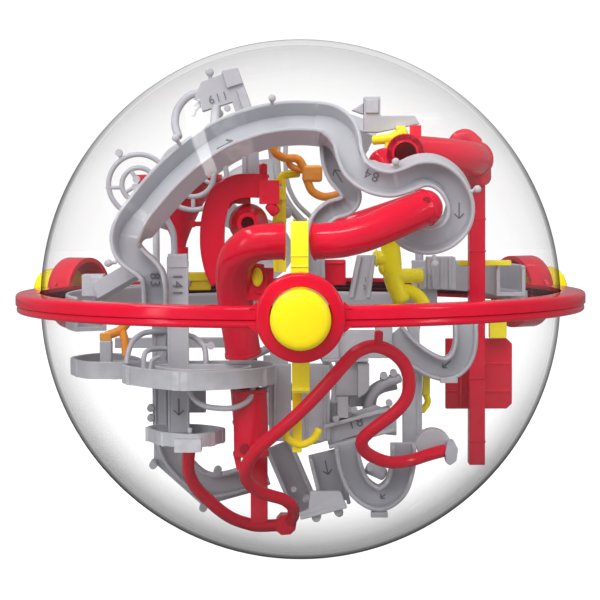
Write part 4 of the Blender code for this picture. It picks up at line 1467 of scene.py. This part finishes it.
def make_red_frames():
    bm = block((63.5, -10, -62.5), (69.5, -6, 45.6))
    for z in (-54, -30, 18, 30):
        block((63.2, -10.3, z), (69.8, -5.7, z + 0.8), bm)
    block((63.5, -6.2, -62.5), (64.7, -2.5, 45), bm)
    block((68.3, -6.2, -62.5), (69.5, -2.5, 45), bm)
    moulded("pillar_right", bm, RED, edge=0.35)
    panel = [(55.5, -42.5), (79, -42.5), (81, -40.5), (81, -17.5), (79, -15.5), (55.5, -15.5)]
    bm = plate(panel, 2, 5)
    for z in (-36, -25.5):
        block((56, 1.4, z), (80.4, 2.1, z + 0.9), bm)
    block((60.5, -2, -41.5), (61.6, 2.1, -16.5), bm)
    moulded("plate_right", bm, RED, edge=0.35)
    bm = block((6.5, -45.5, 7.5), (16.2, -40, 16.5))
    block((6.9, -46.2, 15), (15.8, -45.4, 15.9), bm)
    piece("red_box_front", bm, RED, edge=0.4)
    bm = bmesh.new()
    dome = smooth_route([(60, 11, 56), (61.5, 11, 60.5), (65, 11, 60.5), (67, 11, 56)], 6)
    rod(dome, 3.4, bm, sides=20)
    piece("red_dome_rear", bm, RED, edge=0)


# ---------------------------------------------------------------- yellow and orange pieces
STRAP_THICKNESS = 2.4


def make_yellow():
    upper = [
        (-0.2, -85, 31), (-0.2, -87.3, 21), (-0.2, -88.6, 8), (0, -88.8, -5), (0, -87.6, -17),
        (0, -85.4, -27),
    ]
    band = bar_section(6, STRAP_THICKNESS)
    bm = sweep(smooth_route(upper, 6), band, FRONT)
    for z, y in ((19, -87.5), (15.5, -88)):
        block((-3.25, y - 0.35, z), (2.85, y + 0.8, z + 0.7), bm)
    block((-3.1, -86.6, -26.2), (3.1, -84.2, -24.9), bm)
    lower = [(-1.3, -84.6, -24), (-1.3, -79, -31), (-1.3, -76.8, -40), (-1.4, -75, -48.5)]
    hook = [
        (-5.7, -76, -40.5), (-4.2, -75.6, -43.6), (0, -75, -45.6), (4.2, -75.6, -43.6),
        (6, -76, -40.5),
    ]
    sweep(smooth_route(lower, 6), bar_section(3.2, STRAP_THICKNESS), FRONT, bm)
    rod(hook, 1.35, bm, smooth=6)
    moulded("strap_front", bm, YELLOW, edge=0.3)
    rear = [(0, 85, 30), (0, 88.5, 14), (0, 89, 1), (0, 88.5, -14), (0, 85, -30)]
    moulded("strap_rear", sweep(smooth_route(rear, 6), band, REAR), YELLOW, edge=0.3)

    bm = block((-10, -25, 11.5), (-8.6, -20, 45.5))
    block((-6.6, -25, 11.5), (-5.2, -20, 45.5), bm)
    block((-8.8, -23.8, 11.5), (-6.4, -21.2, 42.5), bm)
    for z in (20, 30, 38):
        block((-10.2, -25.4, z), (-5, -19.8, z + 0.8), bm)
    arm = [(-7.5, -22.5, 44), (-6.5, -22.5, 46.6), (-3.6, -22.5, 47.4), (-0.6, -22.5, 47.7)]
    rod(arm, 1.55, bm, smooth=6)
    moulded("post_yellow", bm, YELLOW, edge=0.3)

    spout = smooth_route([(27, -28, 59.5), (33.5, -28, 60.3), (38, -28, 62)], 8)
    radii = [1.7 + 1.3 * (i / (len(spout) - 1)) ** 2 for i in range(len(spout))]
    bm = rod(spout, radii, sides=18)
    block((31, -29.4, 48.5), (33.2, -26.6, 59), bm)
    block((35, -30, 62.2), (38.6, -26, 64.6), bm)
    moulded("spout_yellow", bm, YELLOW, edge=0.3)

    stem = [(32.5, -28, 24), (33.5, -28, 16), (34, -28, 9), (37, -28, 1.5)]
    bm = rod(stem, 3.5, sides=20, smooth=6)
    arms = (((27.5, -28, 16.5), (34, -28, 16.5), 2.7), ((34, -28, 10), (44, -28, 10), 2.7),
            ((29.6, -28, 12.4), (34, -28, 13.4), 2))
    for start, end, size in arms:
        rod([Vector(start), Vector(end)], size, bm, sides=18)
        tube([Vector(start).lerp(Vector(end), s) for s in (0, 0.12)], size + 0.5, 1, 20, bm)
    foot = smooth_route([(35.5, -28, 3.5), (39.5, -28, 4.6), (43, -28, 2.6), (45.5, -28, -0.5)], 6)
    rod(foot, 2.4, bm, sides=18)
    moulded("manifold", bm, YELLOW, edge=0.2)

    bm = block((-41.5, -28, 8.4), (-31.5, -22, 11.5))
    block((-40.8, -27.2, 5), (-33, -23, 8.6), bm)
    piece("yellow_bar_left", bm, YELLOW, edge=0.35)
    bm = block((60, -4, 12.6), (80, 2, 14.6))
    block((66, -4.6, 11.2), (68.2, 2.4, 14.9), bm)
    piece("yellow_bar_right", bm, YELLOW, edge=0.35)
    bm = block((71.5, -6, -14.8), (78, -2, -6))
    block((44.6, -32, -33.5), (47.2, -28, -22.5), bm)
    rod([(45, -30, -32), (46.5, -30, -36), (44.4, -30, -39.5)], 1.2, bm, smooth=5)
    piece("yellow_clips", bm, YELLOW, edge=0.35)
    insert = bmesh.new()
    bmesh.ops.create_uvsphere(insert, u_segments=24, v_segments=14, radius=1)
    bmesh.ops.scale(insert, vec=(2, 1.4, 3.3), verts=insert.verts)
    bmesh.ops.translate(insert, vec=(-15, -61.3, 11.2), verts=insert.verts)
    piece("elbow_insert", insert, YELLOW, edge=0)


HELIX_FOOT = Vector((68, 24, -43))
HELIX_RADIUS = 7.5
HELIX_TURNS = 2.5
HELIX_STEPS = 90
HELIX_PITCH = 9.5


def make_orange():
    rail = [(-10, -30, 58), (-8.8, -30, 55), (-5.5, -28, 53.2), (-0.8, -26, 52.8), (1.8, -25, 49)]
    tail = [(2.6, -25, 45), (4.6, -25, 41), (9, -25, 39), (15, -25, 40)]
    bm = block((0.8, -27, 44.4), (8.2, -23, 50.6))
    rod(rail, 1.55, bm, smooth=8)
    rod(tail, 1.55, bm, smooth=8)
    loop = [(-4, -28, 53.4), (-3.6, -26, 50.6), (-0.4, -25, 49), (2.2, -25, 48.4)]
    rod(loop, 1.2, bm, smooth=6)
    moulded("twist_rail", bm, ORANGE, edge=1.1)

    prong = [(-62, -33, -5.4), (-65.5, -35.5, -9), (-70.2, -37, -10.8)]
    leg = [(-65, -35, -8.4), (-63.6, -37, -13), (-63.2, -38, -18)]
    bm = rod(prong, 1.6, smooth=8)
    rod(leg, 1.5, bm, smooth=8)
    block((-72.6, -38.6, -12.6), (-68.4, -35.2, -9.8), bm)
    moulded("wishbone", bm, ORANGE, edge=0.35)

    route = []
    for i in range(HELIX_STEPS + 1):
        angle = math.tau * HELIX_TURNS * i / HELIX_STEPS
        climb = HELIX_PITCH * angle / math.tau
        spoke = Vector((HELIX_RADIUS * math.cos(angle), HELIX_RADIUS * math.sin(angle), climb))
        route.append(HELIX_FOOT + spoke)
    bm = sweep(route, bar_section(5, 1.6), TOP)
    bead(bm, route, TOP, 5, radius=0.6)
    rod([(68, 24, -45), (68, 24, -16)], 1.4, bm)
    moulded("helix_rail", bm, ORANGE, edge=0)


# ---------------------------------------------------------------- what holds the pieces
# The long ties run along lines of sight of the photo, so that the pieces in front hide them there.
# piece: bars, each as (start, end, radius)
TIES = {
    "tie_left": (((-43.5, -42.5, 0), (-51.5, 64, -6.5), 2.2),),
    "tie_top": (((-12, -48, 66), (-13.7, 52, 69), 2),),
    "tie_middle": (((-5, -21, 33), (-9.5, 58, 36), 2),),
    "stalks_left": (
        ((-48.3, 6, 17), (-46.8, 6, -2.8), 1.25),
        ((-54.2, -8, 6), (-46.2, -8, -2), 1.3),
        ((-47.2, 12, -3), (-47.2, 12, -17), 1.5),
        ((-47.5, 12, -17), (-46, -8.6, -54), 1.5),
        ((-41, -25, 8), (-43.5, -42.5, 6), 1.5),
        ((-26, -35, 10.5), (-33, -26, 8.6), 1.5),
    ),
    "stalks_top": (
        ((-30.5, -26, 72), (-30.5, -47.5, 60), 1.7),
        ((-10.5, 57, 50), (-12, 54, 66), 1.7),
    ),
    "stalks_rear": (
        ((-8, 45.5, -24.5), (-10.2, 54, -38), 1.7),
        ((8.6, 45.5, -24.5), (15.4, 54, -38), 1.7),
        ((-10, 45, -21), (-21, 57, -27), 1.7),
        ((49, 62, 24), (49.6, 62.6, 6), 1.7),
        ((-29, 66, 3.4), (-33.5, 71.5, -4), 1.7),
    ),
    "stalks_right": (
        ((68, 24, -17), (68, 24, -3), 1.4),
        ((68, 24, -3), (76, 27.5, 4), 1.4),
        ((4, -47, -70), (2, -37, -70), 1.4),
    ),
}


def make_ties():
    for name, bars in TIES.items():
        bm = bmesh.new()
        for start, end, radius in bars:
            rod([start, end], radius, bm)
        piece(name, bm, edge=0)
    bm = block((-3, -40, -25.5), (3, 43, -20.5))
    block((-3, 47.4, -8.4), (3, 77, -3.4), bm)
    piece("tie_bars", bm, edge=0.4)
    bm = sweep([(41, -34, -4.2), (46.4, 61, -9.2)], bar_section(5, 5), TOP)
    block((38.9, -36.6, -18), (43.1, -32.6, -4), bm)
    piece("tie_right", bm, edge=0.4)
    drop = [(-47.6, 26, 19.4), (-47.8, 26, -3.4)]
    pipe = tube(drop, 3.4)
    piece("funnel_pipe", pipe, RED, edge=0.2)


# ---------------------------------------------------------------- small grey pieces
def make_left_posts():
    bm = block((-21, -32, 46), (-19.2, -28, 57))
    block((-16.8, -32, 46), (-15, -28, 57), bm)
    block((-19.4, -31.4, 46), (-16.6, -30.2, 57), bm)
    piece("post_upper_grey", bm, edge=0.3)

    bm = block((-54, -35, -46), (-48, -31, -6))
    block((-53.4, -35.6, -44), (-52.4, -34.9, -8), bm)
    block((-49.6, -35.6, -44), (-48.6, -34.9, -8), bm)
    discs(((-54.6, -37.4), (-54.6, -41)), 1.35, -36.5, -33, bm)
    piece("post_left_dark", bm, edge=0.3)
    piece("plate_left_dark", block((-41.5, -37, -39), (-34.5, -34, -31)))

    bm = block((-80, -29, 3), (-72, -21, 11))
    block((-76.6, -30.6, 3), (-72.4, -28.6, 10.2), bm)
    sweep([(-74, -30, 8), (-58, -44, 17)], bar_section(5.4, 6.2), TOP, bm)
    piece("ramp_left", bm)

    corner_plate = [
        (-55.7, -46), (-55.7, -61), (-37.7, -77.3), (-35.8, -77.3), (-17.7, -72.4),
        (-19.5, -63.3), (-34.6, -65.9), (-42.4, -58.6), (-42.4, -46),
    ]
    piece("corner_plate_low", plate(corner_plate, -9.6, -7.6), edge=0.3)
    piece("bar_left_rear", block((-72, 10, -19.2), (-28, 14, -15.4)), edge=0.3)


def make_low_greys():
    """The small pieces in the lower middle and lower right."""
    bm = sweep([(-8, -40, -51.5), (2.5, -36, -77)], u_section(10, 6), FRONT)
    discs(((-2.6, -66.6), (1.6, -70.4)), 1.1, -41.5, -38, bm)
    piece("channel_left_low", bm, edge=0.3)

    outline = [
        (3.1, -65.9), (14, -65.9), (16.1, -71.3), (-0.3, -75.5), (-1, -73.7), (2.4, -72.4),
    ]
    bm = plate(outline, -49.6, -46.8)
    plate([(-0.6, -74.6), (16, -70.4), (16.3, -71.8), (-0.3, -76)], -51, -46.6, bm)
    disc((5.3, -75.6), 1.6, -48.8, -45.6, bm)
    disc((13.1, -73.6), 1.4, -48.8, -45.6, bm)
    piece("tray_bottom", bm)

    line = [(35.5, -38.5, -26.5), (29.5, -38.5, -29), (25, -38.5, -33.5), (24, -38.5, -38.5)]
    bm = rod(line, 1.8, smooth=7)
    discs(((33.5, -24.6), (30, -25.6)), 1.3, -40.4, -37, bm)
    piece("bracket_low", bm, edge=0)

    bm = block((13, -47, -40), (17, -43.4, -32.5))
    block((12.2, -46, -34.6), (13.2, -44, -32.8), bm)
    piece("block_low_dark", bm, edge=0.3)

    bm = rod([(24.2, -47, -57.8), (29.4, -47, -60.2)], 2.3, sides=20)
    disc((24.6, -57.4), 1.2, -51, -48.4, bm)
    piece("ejector_low", bm, edge=0)

    lean = math.degrees(0.25)
    outline = corner((47.2, -50.8), 6.8, 180 - lean, -lean, 12) + [(50.5, -53.4), (42.5, -54.2)]
    bm = plate(outline, -48, -41)
    outline = [
        (51, -51.7), (51.8, -47.8), (54.2, -47.6), (55.6, -50.4), (55, -54.6),
        (52.8, -56.2), (51.4, -55.4),
    ]
    plate(outline, -54, -46, bm)
    piece("disc_low_right", bm, edge=0.4)

    bm = block((24.8, -51, -75.2), (30.8, -46.6, -73.4))
    block((49.8, -47.2, -27.6), (56, -43.8, -25.8), bm)
    discs(((-55.4, -61), (-36.8, -77.2), (-31.5, -63.8)), 1.5, -17.4, -8.6, bm)
    piece("tabs_and_pegs", bm, edge=0.25)


def make_middle_greys():
    """The blocks and plates seen behind the slide, in the middle."""
    outline = [
        (12.5, -20.2), (24.2, -20.3), (24.2, -29.6), (22.8, -31.6), (20.8, -32.6), (12.5, -32.6),
    ]
    bm = plate(outline, -42, -37)
    block((7.7, -46, -20), (24.3, -38, -18.9), bm)
    outline = [
        (20.4, -20.6), (24.6, -20.6), (24.6, -29.4), (23.4, -31.4), (21.2, -32.9), (20.4, -32.9),
    ]
    plate(outline, -44, -41.8, bm)
    plate([(3.7, -35.1), (12.4, -35.1), (12.4, -45.8), (3.7, -49.4)], -42, -39, bm)
    piece("gutter_mid", bm, edge=0.4)

    bm = block((7.7, -44, -19), (13.7, -40, 2))
    block((13.4, -42, -19), (27.5, -36, -9.2), bm)
    block((27, -42, -19), (33, -34, -3), bm)
    plate([(-13.5, -18), (-4.6, -18), (-4.6, -30), (-13.5, -30)], -40, -38, bm)
    outline = [
        (12.6, -40.2), (26.9, -35.8), (34.4, -39.1), (34.4, -46.9), (28.4, -46.3),
        (20.1, -46.8), (9.6, -50.1), (9.9, -43.8),
    ]
    plate(outline, -43, -41, bm)
    piece("blocks_mid_dark", bm)

    bm = block((12.6, -38, -41.5), (17.1, -34, -33))
    block((17.3, -37, -37), (24.5, -33, -32), bm)
    piece("recess_mid_dark", bm, edge=0.3)

    arch = [(25.2, -20, -41.2), (26.2, -20, -34.8), (29.6, -20, -31.7), (35.5, -20, -30.2)]
    bm = sweep(smooth_route(arch, 6), bar_section(5, 1.6), FRONT)
    discs(((30.8, -28.2), (33.9, -28.2)), 1.5, -22.4, -19.6, bm)
    piece("arch_mid", bm, edge=0.3)


def make_right_and_rear_greys():
    flange = sweep(level_arc(86.5, 10, 34, 2.2, 18), bar_section(7, 3.6), TOP)
    piece("flange_right", flange, edge=0.4)

    bm = block((43.2, -26, 5), (45.7, -18, 12.8))
    block((38.5, -16, -2), (51, -8, 5.4), bm)
    piece("block_right_mid", bm, edge=0.3)

    bm = block((-11.5, 42, -26), (-3.5, 48, 4))
    block((3, 42, -26), (11, 48, 4), bm)
    block((-11.5, 43, -12), (11, 46, -9), bm)
    piece("columns_rear", bm, edge=0.4)


def make_track_arrows():
    arrow("v_arrow", (13.6, -47.4, 46.4), (-0.5, 0, 0.83), FRONT, 5.2)
    arrow("u_low_arrow", (30, -43.6, -68.2), (-0.75, 0, -0.65), FRONT, 3.8)
    arrow("u_right_arrow", (52.6, -40.1, -21.4), (-0.75, 0, -0.65), FRONT, 3.8)


def main():
    make_camera()
    make_stage()
    PAINTS.update(make_paints())
    make_shells()
    make_ring()
    make_hubs()
    make_start()
    make_arc()
    make_s_track()
    make_leg_141()
    make_tracks()
    make_trays()
    make_gallery_ribs()
    make_small_tracks()
    make_targets()
    make_grey_blocks()
    make_grey_wires()
    finish_tubes()
    make_slides()
    make_c_track()
    make_cone_and_funnel()
    make_red_frames()
    make_yellow()
    make_orange()
    make_ties()
    make_left_posts()
    make_low_greys()
    make_middle_greys()
    make_right_and_rear_greys()
    make_track_arrows()


main()
